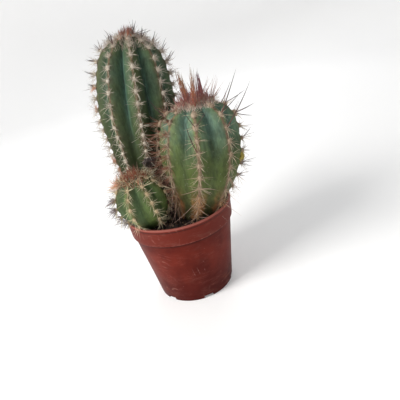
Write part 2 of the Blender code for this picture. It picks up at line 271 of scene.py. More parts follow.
def needles(name, feet, tips, bend, thick, tint, sides=4, rings=4, taper=1.5):
    # Slim tapering spines. Each follows foot + (tip - foot) t + bend 4 t (1 - t), and its
    # radius is thick (1 - t to the taper), closed at the foot and drawn to a point at the tip.
    count = len(feet)
    share = np.linspace(0, 1, rings + 1)[:-1]
    thick = thick.reshape(-1, 1)
    heading = unit(tips - feet)
    aside = np.where(np.abs(heading[:, 2:]) < 0.9, [[0.0, 0.0, 1.0]], [[1.0, 0.0, 0.0]])
    across = unit(np.cross(heading, aside))
    other = np.cross(heading, across)
    t = share[None, :, None]
    path = feet[:, None] + (tips - feet)[:, None] * t + bend[:, None] * 4 * t * (1 - t)
    turn = circle(sides)
    spoke = across[:, None] * np.cos(turn)[:, None] + other[:, None] * np.sin(turn)[:, None]
    radius = thick * (1 - share ** taper)[None]
    rim = path[:, :, None] + spoke[:, None] * radius[:, :, None, None]
    poles = np.stack([feet - heading * thick, tips], 1)
    points = np.concatenate([rim.reshape(count, -1, 3), poles], 1)
    quads, fans = manySkins(rings, sides, count)
    along = np.concatenate([np.repeat(share, sides), [0, 1]])
    side = np.concatenate([np.tile(np.arange(sides), rings), [0, 0]]) / sides
    # on the map each is a thin upright strip, as far across as its tint
    size = (count, len(side))
    onMap = np.stack([np.broadcast_to(0.01 + 0.97 * tint[:, None] + 0.01 * side, size),
                      np.broadcast_to(0.01 + 0.98 * along, size)], -1).reshape(-1, 2)
    corners = np.concatenate([onMap[quads.ravel()], onMap[fans.ravel()]])
    values = {"along": np.tile(along, count), "tint": np.repeat(tint, len(along))}
    return putMesh(name, points, [quads, fans], values, corners)


def blobs(name, middles, frames, sizes, tint, rough, seed, columns=8, rows=5):
    # Lumpy closed pads: a sphere of rows by columns stretched by sizes along each pad's own
    # three axes, each of its points moved in or out by up to rough of its size.
    count = len(middles)
    draw = np.random.default_rng(seed)
    polar = np.pi * (np.arange(rows) + 1) / (rows + 1)
    turn = circle(columns)
    ball = np.stack([np.sin(polar)[:, None] * np.cos(turn), np.sin(polar)[:, None] * np.sin(turn),
                     -np.cos(polar)[:, None] * np.ones(columns)], -1).reshape(-1, 3)
    ball = np.concatenate([ball, [[0, 0, -1.0], [0, 0, 1.0]]])
    local = ball[None] * (1 + rough * draw.uniform(-1, 1, (count, len(ball), 1)))
    local = local * sizes[:, None]
    points = middles[:, None] + np.einsum("npk,nkj->npj", local, frames)
    values = {"tint": np.repeat(tint, len(ball)), "up": np.tile(ball[:, 2], count)}
    return putMesh(name, points, manySkins(rows, columns, count), values)


def lathe(reach, height, angle):
    # rings of points turned round the pot's axis
    return np.stack([reach * np.cos(angle), reach * np.sin(angle), height + 0 * angle], -1)


def dress(piece, material, *nodes, slot=None):
    # gives a piece its material and its place in the frame
    piece.data.materials.append(material)
    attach(piece, "root")
    if nodes:
        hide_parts(*nodes)
    return piece


# Stems: the shapes of the three ribbed bodies

# base and apex end the centre line above the soil, and bow is how far it bends aside halfway up.
# radii are those of the crests at shares of the height. depth is the share of the radius that a
# valley loses low down and near the crown, and softValley the share of it that is filled in again.
# spacing is how far apart the areoles of a rib are at shares of the height, and firstRow is where
# the lowest row stands, in half spacings.
tallStem = dict(
    name="tall", node="tall_stem", base=(-10.5, 11.5, 44), apex=(-2.6, 17.0, 131), bow=(-1.6, 1.1, 0),
    shares=(0, 0.15, 0.3, 0.45, 0.6, 0.75, 0.9, 1),
    radii=(9.0, 12.0, 15.4, 17.4, 19.2, 18.3, 14.8, 0),
    ribs=9, firstRib=-87.7, depth=(0.22, 0.27), softValley=(0.40, 0.06),
    spacing=((0, 0.42, 0.56, 0.7, 1), (3.9, 4.0, 5.0, 5.5, 5.4)), firstRow=2.0,
    rows=270, columnsPerRib=26, seed=11)
roundStem = dict(
    name="round", node="round_stem", base=(8.7, -4.0, 44), apex=(19.0, -7.0, 98.5), bow=(2.6, -1.3, 0),
    shares=(0, 0.15, 0.3, 0.45, 0.62, 0.78, 0.9, 1),
    radii=(11.2, 13.4, 16.6, 18.6, 19.2, 18.1, 15.0, 0),
    ribs=8, firstRib=-101.2, depth=(0.17, 0.28), softValley=(0.55, 0.08),
    spacing=((0, 0.3, 0.6, 0.85, 1), (5.8, 5.9, 5.2, 5.6, 6.5)), firstRow=1.05,
    rows=240, columnsPerRib=28, seed=23)
smallStem = dict(
    name="small", node="small_stem", base=(-13.3, -5.6, 44), apex=(-17.3, -14.3, 73),
    bow=(-0.8, -1.4, 0),
    shares=(0, 0.16, 0.35, 0.55, 0.75, 0.9, 1), radii=(7.0, 8.0, 11.0, 11.9, 10.6, 7.4, 0),
    ribs=7, firstRib=-62.0, depth=(0.16, 0.22), softValley=(0.5, 0.2),
    spacing=((0, 0.4, 0.8, 1), (4.6, 4.9, 4.2, 2.6)), firstRow=0.8,
    rows=150, columnsPerRib=26, seed=37)
stems = [tallStem, roundStem, smallStem]
foot = dict(depth=11.0, narrowing=0.72, rows=8)  # the buried end of every stem
soilTop = 44.0
finely = np.linspace(0, 1, 401)  # shares of a height, for lengths along a crest


def rise(stem):
    return stem["apex"][2] - stem["base"][2]


def centreLine(stem, share):
    # straight from base to apex, plus a sideways bow of 4 s (1 - s); straight down below 0
    share = np.asarray(share, dtype=float)[..., None]
    base, apex, bow = (np.array(stem[key], dtype=float) for key in ("base", "apex", "bow"))
    above = base + (apex - base) * share + bow * 4 * share * (1 - share)
    below = base + np.array([0, 0, rise(stem)]) * share
    return np.where(share < 0, below, above)


def stemFrame(stem, share):
    # unit vectors right, back and up, across and along the centre line
    share = np.asarray(share, dtype=float)
    up = unit(centreLine(stem, share + 0.01) - centreLine(stem, share - 0.01))
    back = unit(np.cross(up, [1.0, 0, 0]))
    return unit(np.cross(back, up)), back, up


def spokeAt(stem, share, angle):
    # unit vectors out from the centre line at an angle round it, and along it
    right, back, up = stemFrame(stem, share)
    return right * np.cos(angle)[..., None] + back * np.sin(angle)[..., None], up


def ribPhase(stem, angle):
    # a whole number of pi on each crest, and half a pi more in each valley
    return stem["ribs"] * (angle - math.radians(stem["firstRib"])) / 2


def crestRadius(stem, share):
    # a smooth curve through the squared radii, which rounds the crown like a dome
    share = np.asarray(share, dtype=float)
    at, squares = np.array(stem["shares"], float), np.array(stem["radii"], float) ** 2
    last = len(at) - 1
    low, high = np.maximum(np.arange(last + 1) - 1, 0), np.minimum(np.arange(last + 1) + 1, last)
    slope = (squares[high] - squares[low]) / (at[high] - at[low])
    i = np.clip(np.searchsorted(at, share, side="right") - 1, 0, last - 1)
    width = at[i + 1] - at[i]
    t = np.clip((share - at[i]) / width, 0, 1)
    square = ((2 * t ** 3 - 3 * t ** 2 + 1) * squares[i] + (t ** 3 - 2 * t ** 2 + t) * width * slope[i]
              + (3 * t ** 2 - 2 * t ** 3) * squares[i + 1] + (t ** 3 - t ** 2) * width * slope[i + 1])
    buried = np.clip(-share * rise(stem) / foot["depth"], 0, 1)
    below = stem["radii"][0] * (1 + (foot["narrowing"] - 1) * buried)
    return np.where(share <= 0, below, np.where(share >= 1, 0, np.sqrt(np.maximum(square, 0))))


valleyPlan = dict(atSoil=0.25, fullFrom=0.25, deepFrom=0.45, deepOver=0.4, softFrom=0.3, softOver=0.4)


def valleyDepth(stem, share):
    # share of the radius lost between two ribs: shallow at the soil, deepest near the crown
    plan = valleyPlan
    shallow, deep = stem["depth"]
    low = plan["atSoil"] + (1 - plan["atSoil"]) * np.clip(share / plan["fullFrom"], 0, 1)
    high = np.clip((share - plan["deepFrom"]) / plan["deepOver"], 0, 1)
    return shallow * low + (deep - shallow) * high * high * (3 - 2 * high)


def crestLength(stem, share):
    # length of a crest from the soil up to a share of the height
    steps = np.hypot(rise(stem) / (len(finely) - 1), np.diff(crestRadius(stem, finely)))
    return np.interp(share, finely, np.concatenate([[0], np.cumsum(steps)]))


def areoleShares(stem):
    # Rows come every half spacing along the crest, and alternate between even and odd ribs, so
    # that each rib has one areole to a spacing; an even number of rows is kept.
    steps = np.diff(crestLength(stem, finely))
    middle = (finely[1:] + finely[:-1]) / 2
    counted = np.concatenate([[0], np.cumsum(2 * steps / np.interp(middle, *stem["spacing"]))])
    rows = 2 * int((counted[-1] - stem["firstRow"] + 0.2) / 2)
    return np.interp(np.arange(rows) + stem["firstRow"], counted, finely)


def ribPlace(stem, share, angle):
    # distance from the nearest crest round the stem, and from its nearest areole up the crest
    step = 2 * np.pi / stem["ribs"]
    turn = (angle - math.radians(stem["firstRib"])) / step
    rib = np.round(turn)
    across = (turn - rib) * step * crestRadius(stem, share)
    odd = np.mod(np.mod(rib, stem["ribs"]), 2).astype(int)
    length = crestLength(stem, share)
    levels = crestLength(stem, areoleShares(stem)).reshape(-1, 2)  # even and odd rows in columns
    gaps = length[..., None, None] - levels
    nearest = np.take_along_axis(gaps, np.abs(gaps).argmin(-2)[..., None, :], -2)[..., 0, :]
    along = np.take_along_axis(nearest, odd[..., None], -1)[..., 0]
    return across, along


def hill(along, across, long, wide, high):
    # high times exp(-(along / long) squared - (across / wide) squared)
    return high * np.exp(-(along / long) ** 2 - (across / wide) ** 2)


def fadeEnds(share, top, low):
    # 1 along the stem, falling to 0 over the last top below the apex and over low at the soil
    return np.clip((1 - share) / top, 0, 1) * np.clip(share / low, 0, 1)


reliefPlan = dict(swelling=(1.4, 1.8, 0.5), nick=(0.6, 2.2, -0.22), nickAbove=2.0, lumpWaves=0.35,
                  lumpHigh=0.16)


def relief(stem, share, angle):
    # a low swelling under each areole and a shallow nick above it, in mm
    across, along = ribPlace(stem, share, angle)
    swelling = hill(along, across, *reliefPlan["swelling"])
    nick = hill(along - reliefPlan["nickAbove"], across, *reliefPlan["nick"])
    return (swelling + nick) * fadeEnds(share, 0.06, 0.03)


def stemSurface(stem, share, angle, extra=0.0):
    # A rib is a rounded crest, the absolute cosine of its phase, with a valley beside it that is
    # shallow and soft low down and narrow near the crown.
    phase = ribPhase(stem, angle)
    low, high = stem["softValley"]
    soft = low + (high - low) * np.clip((share - valleyPlan["softFrom"]) / valleyPlan["softOver"], 0, 1)
    wave = np.sqrt(np.cos(phase) ** 2 + soft ** 2 * np.sin(phase) ** 2)
    reach = crestRadius(stem, share) * (1 - valleyDepth(stem, share) * (1 - wave)) + extra
    return centreLine(stem, share) + spokeAt(stem, share, angle)[0] * reach[..., None]


def crestNormal(stem, share, angle):
    # outward, square to the crest
    low, high = np.maximum(share - 0.01, 0), np.minimum(share + 0.01, 1)
    along = stemSurface(stem, high, angle) - stemSurface(stem, low, angle)
    out, up = spokeAt(stem, share, angle)
    return unit(np.cross(np.cross(up, out), along))


def clearBy(stem, points):
    # distance from points to a stem's crests, below 0 inside
    share = (points[..., 2] - stem["base"][2]) / rise(stem)
    offset = points - centreLine(stem, share)
    _, _, up = stemFrame(stem, share)
    flat = np.linalg.norm(offset - up * (offset * up).sum(-1, keepdims=True), axis=-1)
    beside = flat - crestRadius(stem, np.minimum(share, 1))
    ends = np.linalg.norm(points - centreLine(stem, np.clip(share, 0, 1)), axis=-1)
    return np.where((share > -0.1) & (share < 1.02), beside, ends)


# where spines end and areoles are left out, in mm; least is the share of a spine that has to stay
keepOut = dict(intoStem=0.6, rimTop=48.6, wallInside=26.2, wallOutside=28.2, overSoil=0.6,
               soilReach=26.6, areoleOverSoil=0.8, areoleReach=25.6, areoleOverRim=49, least=0.3)


def blocked(stem, points):
    # True where a point lies in another stem, in the pot's wall or in the soil
    found = np.zeros(points.shape[:-1], bool)
    for other in stems:
        if other is not stem:
            found |= clearBy(other, points) < -keepOut["intoStem"]
    flat, height = np.hypot(points[..., 0], points[..., 1]), points[..., 2]
    found |= ((height < keepOut["rimTop"]) & (flat > keepOut["wallInside"])
              & (flat < keepOut["wallOutside"]))
    found |= (height < soilTop + keepOut["overSoil"]) & (flat < keepOut["soilReach"])
    return found


def keepClear(stem, feet, tips):
    # Spines that would run into something end just before it; those left too short are dropped.
    t = np.linspace(0.1, 1, 14)
    path = feet[:, None] + (tips - feet)[:, None] * t[None, :, None]
    hit = blocked(stem, path)
    first = np.where(hit.any(1), hit.argmax(1), len(t))
    share = np.where(first == len(t), 1.0, t[np.clip(first - 1, 0, len(t) - 1)])
    keep = (share > keepOut["least"]) & ~hit[:, 0]
    return keep, feet + (tips - feet) * share[:, None]


def makeFlesh(stem):
    # the whole skin, buried foot included, rows closer together near the crown
    columns = stem["ribs"] * stem["columnsPerRib"]
    deep = -foot["depth"] / rise(stem)
    even = np.linspace(0, 1, stem["rows"])
    above = np.interp(even * crestLength(stem, 1), crestLength(stem, finely), finely)[:-1]
    share = np.concatenate([np.linspace(deep, 0, foot["rows"] + 1)[:-1], above])
    angle = circle(columns) + math.radians(stem["firstRib"])
    share, angle = np.meshgrid(share, angle, indexing="ij")
    lumps = wobble(stemSurface(stem, share, angle), reliefPlan["lumpWaves"], stem["seed"])
    lumps = lumps * reliefPlan["lumpHigh"] * fadeEnds(share, 0.08, 0.05)
    extra = relief(stem, share, angle) + lumps
    rings = stemSurface(stem, share, angle, extra)
    across, along = ribPlace(stem, share, angle)
    phase = ribPhase(stem, angle)
    values = {"wave": np.abs(np.cos(phase)), "side": np.sin(2 * phase), "share": share,
              "across": np.abs(across), "near": hill(along, across, 1.5, 1.5, 1)}
    bottom, top = centreLine(stem, deep), centreLine(stem, 1.0)
    return skinMesh(stem["name"] + "Flesh", rings, bottom, top, values, mapped=True)


def areoleTable(stem):
    # share and rib of every areole that stands free of soil and pot, its foot on the skin and
    # its own three axes
    levels = areoleShares(stem)
    row, rib = np.meshgrid(np.arange(len(levels)), np.arange(stem["ribs"]), indexing="ij")
    row, rib = row[(row + rib) % 2 == 0], rib[(row + rib) % 2 == 0]
    share = levels[row]
    angle = math.radians(stem["firstRib"]) + 2 * np.pi * rib / stem["ribs"]
    normal = crestNormal(stem, share, angle)
    _, _, up = stemFrame(stem, share)
    across = unit(np.cross(up, normal))
    where = stemSurface(stem, share, angle, relief(stem, share, angle))
    flat, height = np.hypot(where[:, 0], where[:, 1]), where[:, 2]
    seen = (height > soilTop + keepOut["areoleOverSoil"]) & (
        (flat < keepOut["areoleReach"]) | (height > keepOut["areoleOverRim"]))
    table = dict(share=share, rib=rib, foot=where, normal=normal, across=across,
                 along=np.cross(normal, across))
    return {key: value[seen] for key, value in table.items()}


# Skin of the stems

def fleshMaterial(name, look):
    # Green between the ribs' crests and valleys: yellowish by the crest, blue-green in the valley,
    # where it is also darker as painted shade. Over it lie wax in the valleys, a pale flank to each rib
    # that is partly wax and partly painted light, a dusky flank on its other side that is painted
    # shade, painted shade and olive low down, blue patches and cork, young green at the crown, pale
    # specks, and mottling. Last comes tan felt along the crest, with dark nicks across it.
    paint = Paint(name, look)
    wave, share, side = (paint.attribute(key) for key in ("wave", "share", "side"))
    across, near = paint.attribute("across"), paint.attribute("near")
    cloud = paint.noise(0.12, 4, 0.6)
    streak = paint.noise(0.35, 3, 0.55, (1, 1, 0.22))
    fine = paint.noise(2.4, 4, 0.6)
    # the valley colour is blue-green and darker than the green: painted shade in the crease between ribs
    stops = zip((0.0, 0.16, 0.5, 1.0), (look[key] for key in ("valleyBlueShade", "bloom", "green", "crest")))
    paint.colour = paint.ramp(wave + (cloud - 0.5) * 0.35 + (streak - 0.5) * 0.3, list(stops))
    paint.cover((1 - share.step(*look["plainTo"])) * 0.85, "green")
    waxy = (1 - wave.step(0.35, 0.95)) * (share + (cloud - 0.5) * 0.4).step(0.5, 0.85)
    paint.cover(waxy * look["waxy"], "bloom")
    # painted light: high up, the flank on one side of each rib is laid over with pale bloom, partly wax
    # and partly light
    waxAndLitFlank = (0 - side).step(0.1, 0.8) * share.step(0.45, 0.85)
    paint.cover(waxAndLitFlank * look["waxAndLitFlank"], "bloom")
    # painted shade: the flank on the other side of each rib is darkened towards the dusk colour
    shadedFlank = side.step(0.0, 0.7) * share.step(*look["shadedFlankFrom"])
    paint.cover(shadedFlank * look["shadedFlank"], "flankShadeColour")
    low, high, least = look["shaded"]
    lit = (share + (streak - 0.5) * 0.3 + (cloud - 0.5) * 0.3).step(low, high)
    paint.dim(least + (1 - least) * lit)
    paint.cover((1 - share.step(*look["oliveTo"])) * look["oliveShare"], "olive")
    patchy = paint.noise(0.16, 3, 0.6, (1, 1, 0.5)).step(0.42, 0.66)
    paint.cover(share.step(0.45, 0.9) * patchy * 0.75, "blue")
    low = 1 - share.step(look["corkTop"] * 0.3, look["corkTop"])
    paint.cover(low * streak.step(0.25, 0.6) * wave.step(0.3, 0.85), "cork")
    paint.cover(share.step(0.86, 1.0) * 0.5, "young")
    speck = 1 - paint.spots(0.45).step(0.05, 0.15)
    paint.cover(speck * fine.step(0.5, 0.62) * 0.75, "speck")
    dull = paint.noise(0.5, 5, 0.7).step(0.5, 0.75)
    paint.cover(dull * 0.35, "dull")
    mottle = paint.noise(0.42, 6, 0.72, (1, 1, 0.5)).step(0.34, 0.64)
    hatch = paint.noise(1.3, 3, 0.6, (1, 1, 0.12)).step(0.3, 0.7)
    paint.dim((0.76 + 0.48 * mottle) * (0.86 + 0.28 * hatch))
    ragged = across + (paint.noise(0.9, 4, 0.65) - 0.5) * look["feltRagged"]
    felt = 1 - ragged.step(look["feltWidth"] * 0.45, look["feltWidth"])
    nicks = paint.noise(0.8, 3, 0.6, (0.4, 0.4, 1.6)).step(0.5, 0.62)
    paint.cover(felt * look["feltStrength"], "felt")
    paint.cover(felt * nicks * (1 - near) * 0.7, "nick")
    paint.cover(near * 0.5, "felt")
    bumps = fine * 0.35 + paint.noise(6.0, 2) * 0.3 + felt * paint.noise(3.0, 3) * 1.2
    paint.shader.inputs["Specular IOR Level"].default_value = 0.2
    return paint.finish(paint.colour, 0.5 + 0.2 * cloud + 0.25 * felt, bumps, 0.12)


# Colours are linear. A pair that ends in From or To is two shares of the height between which a
# layer comes or goes; shaded is such a pair and the brightness left below it.
# The valley colour is partly painted shade, the pale flank's strength is partly painted light, and the
# dusky flank and its colour are painted shade.
fleshLooks = {
    "tall": dict(
        valleyBlueShade=(0.012, 0.032, 0.025), bloom=(0.054, 0.110, 0.080), green=(0.046, 0.074, 0.026),
        crest=(0.072, 0.088, 0.028), young=(0.06, 0.085, 0.032), blue=(0.040, 0.070, 0.044),
        olive=(0.024, 0.032, 0.009), flankShadeColour=(0.024, 0.041, 0.025), cork=(0.075, 0.055, 0.035),
        felt=(0.19, 0.125, 0.085), nick=(0.035, 0.020, 0.014), speck=(0.17, 0.20, 0.14),
        dull=(0.05, 0.055, 0.035), corkTop=0.10, plainTo=(0.3, 0.7), waxy=0.2, waxAndLitFlank=0.35,
        shadedFlank=0.35, shadedFlankFrom=(-0.2, 0.1), shaded=(0.15, 0.7, 0.75), oliveTo=(0.25, 0.7),
        oliveShare=0.85, feltWidth=0.7, feltRagged=1.5, feltStrength=0.7),
    "round": dict(
        valleyBlueShade=(0.024, 0.055, 0.050), bloom=(0.078, 0.140, 0.112), green=(0.145, 0.202, 0.050),
        crest=(0.152, 0.190, 0.050), young=(0.085, 0.135, 0.085), blue=(0.075, 0.128, 0.094),
        olive=(0.066, 0.062, 0.025), flankShadeColour=(0.055, 0.092, 0.080), cork=(0.30, 0.13, 0.05),
        felt=(0.23, 0.155, 0.105), nick=(0.075, 0.040, 0.025), speck=(0.38, 0.43, 0.32),
        dull=(0.12, 0.125, 0.065), corkTop=0.36, plainTo=(0.55, 0.9), waxy=0.7, waxAndLitFlank=0.65,
        shadedFlank=0.45, shadedFlankFrom=(0.62, 0.88), shaded=(0.6, 0.84, 0.44), oliveTo=(0.05, 0.48),
        oliveShare=0.8, feltWidth=1.0, feltRagged=1.5, feltStrength=0.8),
    "small": dict(
        valleyBlueShade=(0.034, 0.062, 0.026), bloom=(0.055, 0.092, 0.036), green=(0.076, 0.115, 0.030),
        crest=(0.090, 0.112, 0.034), young=(0.06, 0.085, 0.03), blue=(0.056, 0.090, 0.036),
        olive=(0.056, 0.076, 0.020), flankShadeColour=(0.030, 0.054, 0.030), cork=(0.07, 0.06, 0.03),
        felt=(0.15, 0.11, 0.055), nick=(0.05, 0.03, 0.012), speck=(0.20, 0.23, 0.13),
        dull=(0.055, 0.062, 0.03), corkTop=0.10, plainTo=(0.5, 0.9), waxy=0.1, waxAndLitFlank=0.2,
        shadedFlank=0.55, shadedFlankFrom=(-0.2, 0.1), shaded=(0.1, 0.5, 0.85), oliveTo=(0.1, 0.5),
        oliveShare=0.5, feltWidth=0.5, feltRagged=1.0, feltStrength=0.4),
}
for stem in stems:
    skin = fleshMaterial(stem["name"] + "Skin", fleshLooks[stem["name"]])
    dress(makeFlesh(stem), skin, stem["node"], slot=stem["node"])
print("stems done")


# Areoles: felted cushions with short wool

def feltMaterial(name, pale, dark):
    # matted wool, paler on top, each cushion a little different
    paint = Paint(name)
    tint, up = paint.attribute("tint"), paint.attribute("up")
    matted = paint.noise(3.5, 4, 0.7)
    colour = paint.mix(tint * 0.45 + matted.step(0.35, 0.7) * 0.4, pale, dark)
    colour = paint.mix((1 - up.step(-0.2, 0.7)) * 0.5, colour, tuple(0.55 * c for c in dark))
    return paint.finish(colour, 0.95, matted + paint.noise(9.0, 2), 0.3)


def threadMaterial(name, footColour, middleColour, tipColour, roughness=0.55):
    # a spine's or hair's colour runs from foot to tip, and each differs a little
    paint = Paint(name)
    along, tint = paint.attribute("along"), paint.attribute("tint")
    colour = paint.ramp(along + (tint - 0.5) * 0.3, [(0.0, footColour), (0.5, middleColour),
                                                    (1.0, tipColour)])
    return paint.finish(paint.shade(colour, 0.62 + 0.38 * tint), roughness)


cushionSizes = {
    "tall": dict(across=0.85, along=0.95, high=0.65, hairs=40, hairLength=0.75, crown=0.15),
    "round": dict(across=0.8, along=1.05, high=0.65, hairs=40, hairLength=1.1, crown=0.6),
    "small": dict(across=0.75, along=0.95, high=0.6, hairs=30, hairLength=1.1, crown=0.1),
}
cushionPlan = dict(crownFrom=0.84, stand=0.05, lumpy=0.14, hairThick=0.055, hairBend=0.16)
feltColours = {
    "tall": ((0.92, 0.86, 0.76), (0.62, 0.50, 0.38)),
    "round": ((0.56, 0.44, 0.32), (0.30, 0.20, 0.13)),
    "small": ((0.78, 0.64, 0.42), (0.48, 0.33, 0.17)),
}


def makeCushions(stem):
    # a felted pad on every areole, larger at the crown, and short curly wool that stands on it
    name, size, plan = stem["name"], cushionSizes[stem["name"]], cushionPlan
    table = areoleTable(stem)
    draw = np.random.default_rng(stem["seed"] + 5)
    count, hairs = len(table["share"]), size["hairs"]
    crown = table["share"][:, None] > plan["crownFrom"]
    grow = draw.uniform(0.8, 1.15, (count, 1)) * (1 + size["crown"] * crown)
    frames = np.stack([table["across"], table["along"], table["normal"]], 1)
    sizes = np.array([[size["across"], size["along"], size["high"]]]) * grow
    middle = table["foot"] + table["normal"] * plan["stand"]
    pads = blobs(name + "Areoles", middle, frames, sizes, draw.uniform(0, 1, count), plan["lumpy"],
                 stem["seed"])
    pale, dark = feltColours[name]
    dress(pads, feltMaterial(name + "Felt", pale, dark))

    # a hair's foot lies on the pad, out being its distance from the middle as a share
    out = np.sqrt(draw.uniform(0, 1, (count, hairs, 1)))
    turn = draw.uniform(0, 2 * np.pi, (count, hairs, 1))
    normal = table["normal"][:, None]
    flat = (table["across"][:, None] * np.cos(turn) * size["across"]
            + table["along"][:, None] * np.sin(turn) * size["along"]) * out
    feet = table["foot"][:, None] + flat * 0.92
    feet = feet + normal * size["high"] * np.sqrt(1 - 0.85 * out ** 2) * 0.75
    heading = unit(normal * (1.3 - out) + flat * 0.9 + draw.normal(0, 0.35, (count, hairs, 3)))
    tips = feet + heading * (size["hairLength"] * draw.uniform(0.5, 1.2, (count, hairs, 1)))
    bend = draw.normal(0, plan["hairBend"], (count * hairs, 3))
    wool = needles(name + "Wool", feet.reshape(-1, 3), tips.reshape(-1, 3), bend,
                   np.full(count * hairs, plan["hairThick"]), draw.uniform(0, 1, count * hairs), 3, 2)
    bright = tuple(min(1.0, 1.15 * c) for c in pale)
    dress(wool, threadMaterial(name + "WoolHair", dark, pale, bright, 0.9))


for stem in stems:
    makeCushions(stem)
print("areoles done")


# Spines

spineLooks = {
    "tall": dict(length=4.9, centralLength=6.0, thick=0.062, shorter=0.35,
                 colours=((0.72, 0.60, 0.47), (0.74, 0.66, 0.54), (0.48, 0.42, 0.35)),
                 centralColours=((0.50, 0.38, 0.28), (0.24, 0.17, 0.13), (0.07, 0.05, 0.05))),
    "round": dict(length=5.2, centralLength=6.2, thick=0.066, shorter=0.2,
                  colours=((0.56, 0.43, 0.28), (0.64, 0.52, 0.37), (0.44, 0.33, 0.23)),
                  centralColours=((0.40, 0.24, 0.15), (0.22, 0.12, 0.10), (0.08, 0.05, 0.045))),
    "small": dict(length=4.8, centralLength=5.6, thick=0.066, shorter=0.1,
                  colours=((0.78, 0.64, 0.38), (0.82, 0.72, 0.50), (0.62, 0.49, 0.31)),
                  centralColours=((0.50, 0.34, 0.20), (0.40, 0.26, 0.16), (0.16, 0.10, 0.08))),
}
# turn of each radial round its areole in degrees (90 is up the rib) and its share of the length
radialStar = np.array([(-90, 1.0), (-64, 1.1), (-116, 1.1), (-40, 1.2), (-140, 1.2), (-18, 1.15),
                       (198, 1.15), (4, 0.95), (176, 0.95), (28, 0.7), (152, 0.7), (62, 0.45),
                       (118, 0.45), (-84, 0.6)])
# lean is in degrees from the areole's normal, lengths and spread are ranges of the length and the
# thickness, and the foot is footOut along the skin and footHigh above it
radialPlan = dict(turnSpread=17, lean=(42, 84), lengths=(0.35, 1.3), bend=(0.0, 0.10), sideBend=0.03,
                  footOut=0.6, footHigh=0.3, thick=1, spread=(0.75, 1.2), taper=3.5)
centralPlan = dict(count=2, lean=(5, 42), lengths=(0.45, 1.25), bend=0.05,
                   footOut=0.3, footHigh=0.35, thick=1.4, spread=(0.8, 1.2), taper=2.5)


def growSpines(stem, name, draw, feet, tips, bend, thick, spread, colours, taper=1.5):
    # spines that end before they run into something; spread is the range of their thickness
    feet, tips, bend = (array.reshape(-1, 3) for array in (feet, tips, bend))
    keep, tips = keepClear(stem, feet, tips)
    count = keep.sum()
    piece = needles(name, feet[keep], tips[keep], bend[keep], thick * draw.uniform(*spread, count),
                    draw.uniform(0, 1, count), taper=taper)
    dress(piece, threadMaterial(name + "Colour", *colours))


def makeAreoleSpines(stem):
    # a star of fine radials lying near the skin, and two sturdier centrals that stand out
    look = spineLooks[stem["name"]]
    table = areoleTable(stem)
    draw = np.random.default_rng(stem["seed"] + 9)
    areoles = len(table["share"])

    def aim(plan, turn, lean, length):
        # feet and tips, and unit vectors along each areole's normal and towards the turn round it
        turn, lean = turn[..., None], np.radians(lean)[..., None]
        sideways = table["across"][:, None] * np.cos(turn) + table["along"][:, None] * np.sin(turn)
        normal = np.broadcast_to(table["normal"][:, None], sideways.shape)
        feet = table["foot"][:, None] + sideways * plan["footOut"] + normal * plan["footHigh"]
        tips = feet + (normal * np.cos(lean) + sideways * np.sin(lean)) * length
        return feet, tips, normal, sideways

    plan, shape = radialPlan, (areoles, len(radialStar))
    turn = np.radians(radialStar[:, 0] + draw.normal(0, plan["turnSpread"], shape))
    lean = draw.uniform(*plan["lean"], shape)
    length = look["length"] * radialStar[:, 1] * draw.uniform(*plan["lengths"], shape)
    high = np.clip(table["share"] * 4 - 2.8, 0, 1)  # 0 up to 0.7 of the height, 1 from 0.95
    length = (length * (1 - look["shorter"] * high)[:, None])[..., None]
    feet, tips, normal, sideways = aim(plan, turn, lean, length)
    bend = normal * draw.uniform(*plan["bend"], (*shape, 1))
    bend = (bend + sideways * draw.normal(0, plan["sideBend"], (*shape, 1))) * length
    growSpines(stem, stem["name"] + "Radials", draw, feet, tips, bend, plan["thick"] * look["thick"],
               plan["spread"], look["colours"], plan["taper"])
    plan, shape = centralPlan, (areoles, centralPlan["count"])
    turn = draw.uniform(0, 2 * np.pi, shape)
    lean = draw.uniform(*plan["lean"], shape)
    length = (look["centralLength"] * draw.uniform(*plan["lengths"], shape))[..., None]
    feet, tips, _, _ = aim(plan, turn, lean, length)
    bend = draw.normal(0, plan["bend"], (*shape, 3)) * length
    growSpines(stem, stem["name"] + "Centrals", draw, feet, tips, bend, plan["thick"] * look["thick"],
               plan["spread"], look["centralColours"], plan["taper"])


for stem in stems:
    makeAreoleSpines(stem)
print("spines done")


# Crowns: tufts of young spines round each apex

# the same for all tufts; upright is how much spines point up at the middle and at the edge
crownShape = dict(sunk=0.2, turnSpread=0.2, upright=(1.5, 0.9), edgeShorter=0.35, bend=0.045)


def makeCrown(stem, name, look):
    # A sunflower spiral from the apex outward, its innermost share left free if look has inner;
    # spines stand up at the middle and fan at the edge.
    shape = crownShape
    draw = np.random.default_rng(stem["seed"] + look.get("seed", 60))
    count = look["count"]
    inner = look.get("inner", 0)
    out = np.sqrt(inner + (1 - inner) * (np.arange(count) + 0.5) / count)
    share = 1 - (1 - look["lowest"]) * out ** 2
    angle = goldenAngle * np.arange(count) + draw.normal(0, shape["turnSpread"], count)
    feet = stemSurface(stem, share, angle, np.full(count, -shape["sunk"]))
    _, _, up = stemFrame(stem, share)
    normal = crestNormal(stem, np.minimum(share, 0.985), angle)
    middle, edge = shape["upright"]
    heading = unit(normal * (out * look["fan"])[:, None] + up * (middle - (middle - edge) * out)[:, None]
                   + draw.normal(0, look["messy"], (count, 3)))
    length = (draw.uniform(*look["length"], count) * (1 - shape["edgeShorter"] * out))[:, None]
    bend = draw.normal(0, shape["bend"], (count, 3)) * length
    growSpines(stem, name, draw, feet, feet + heading * length, bend, look["thick"], (0.75, 1.25),
               look["colours"])


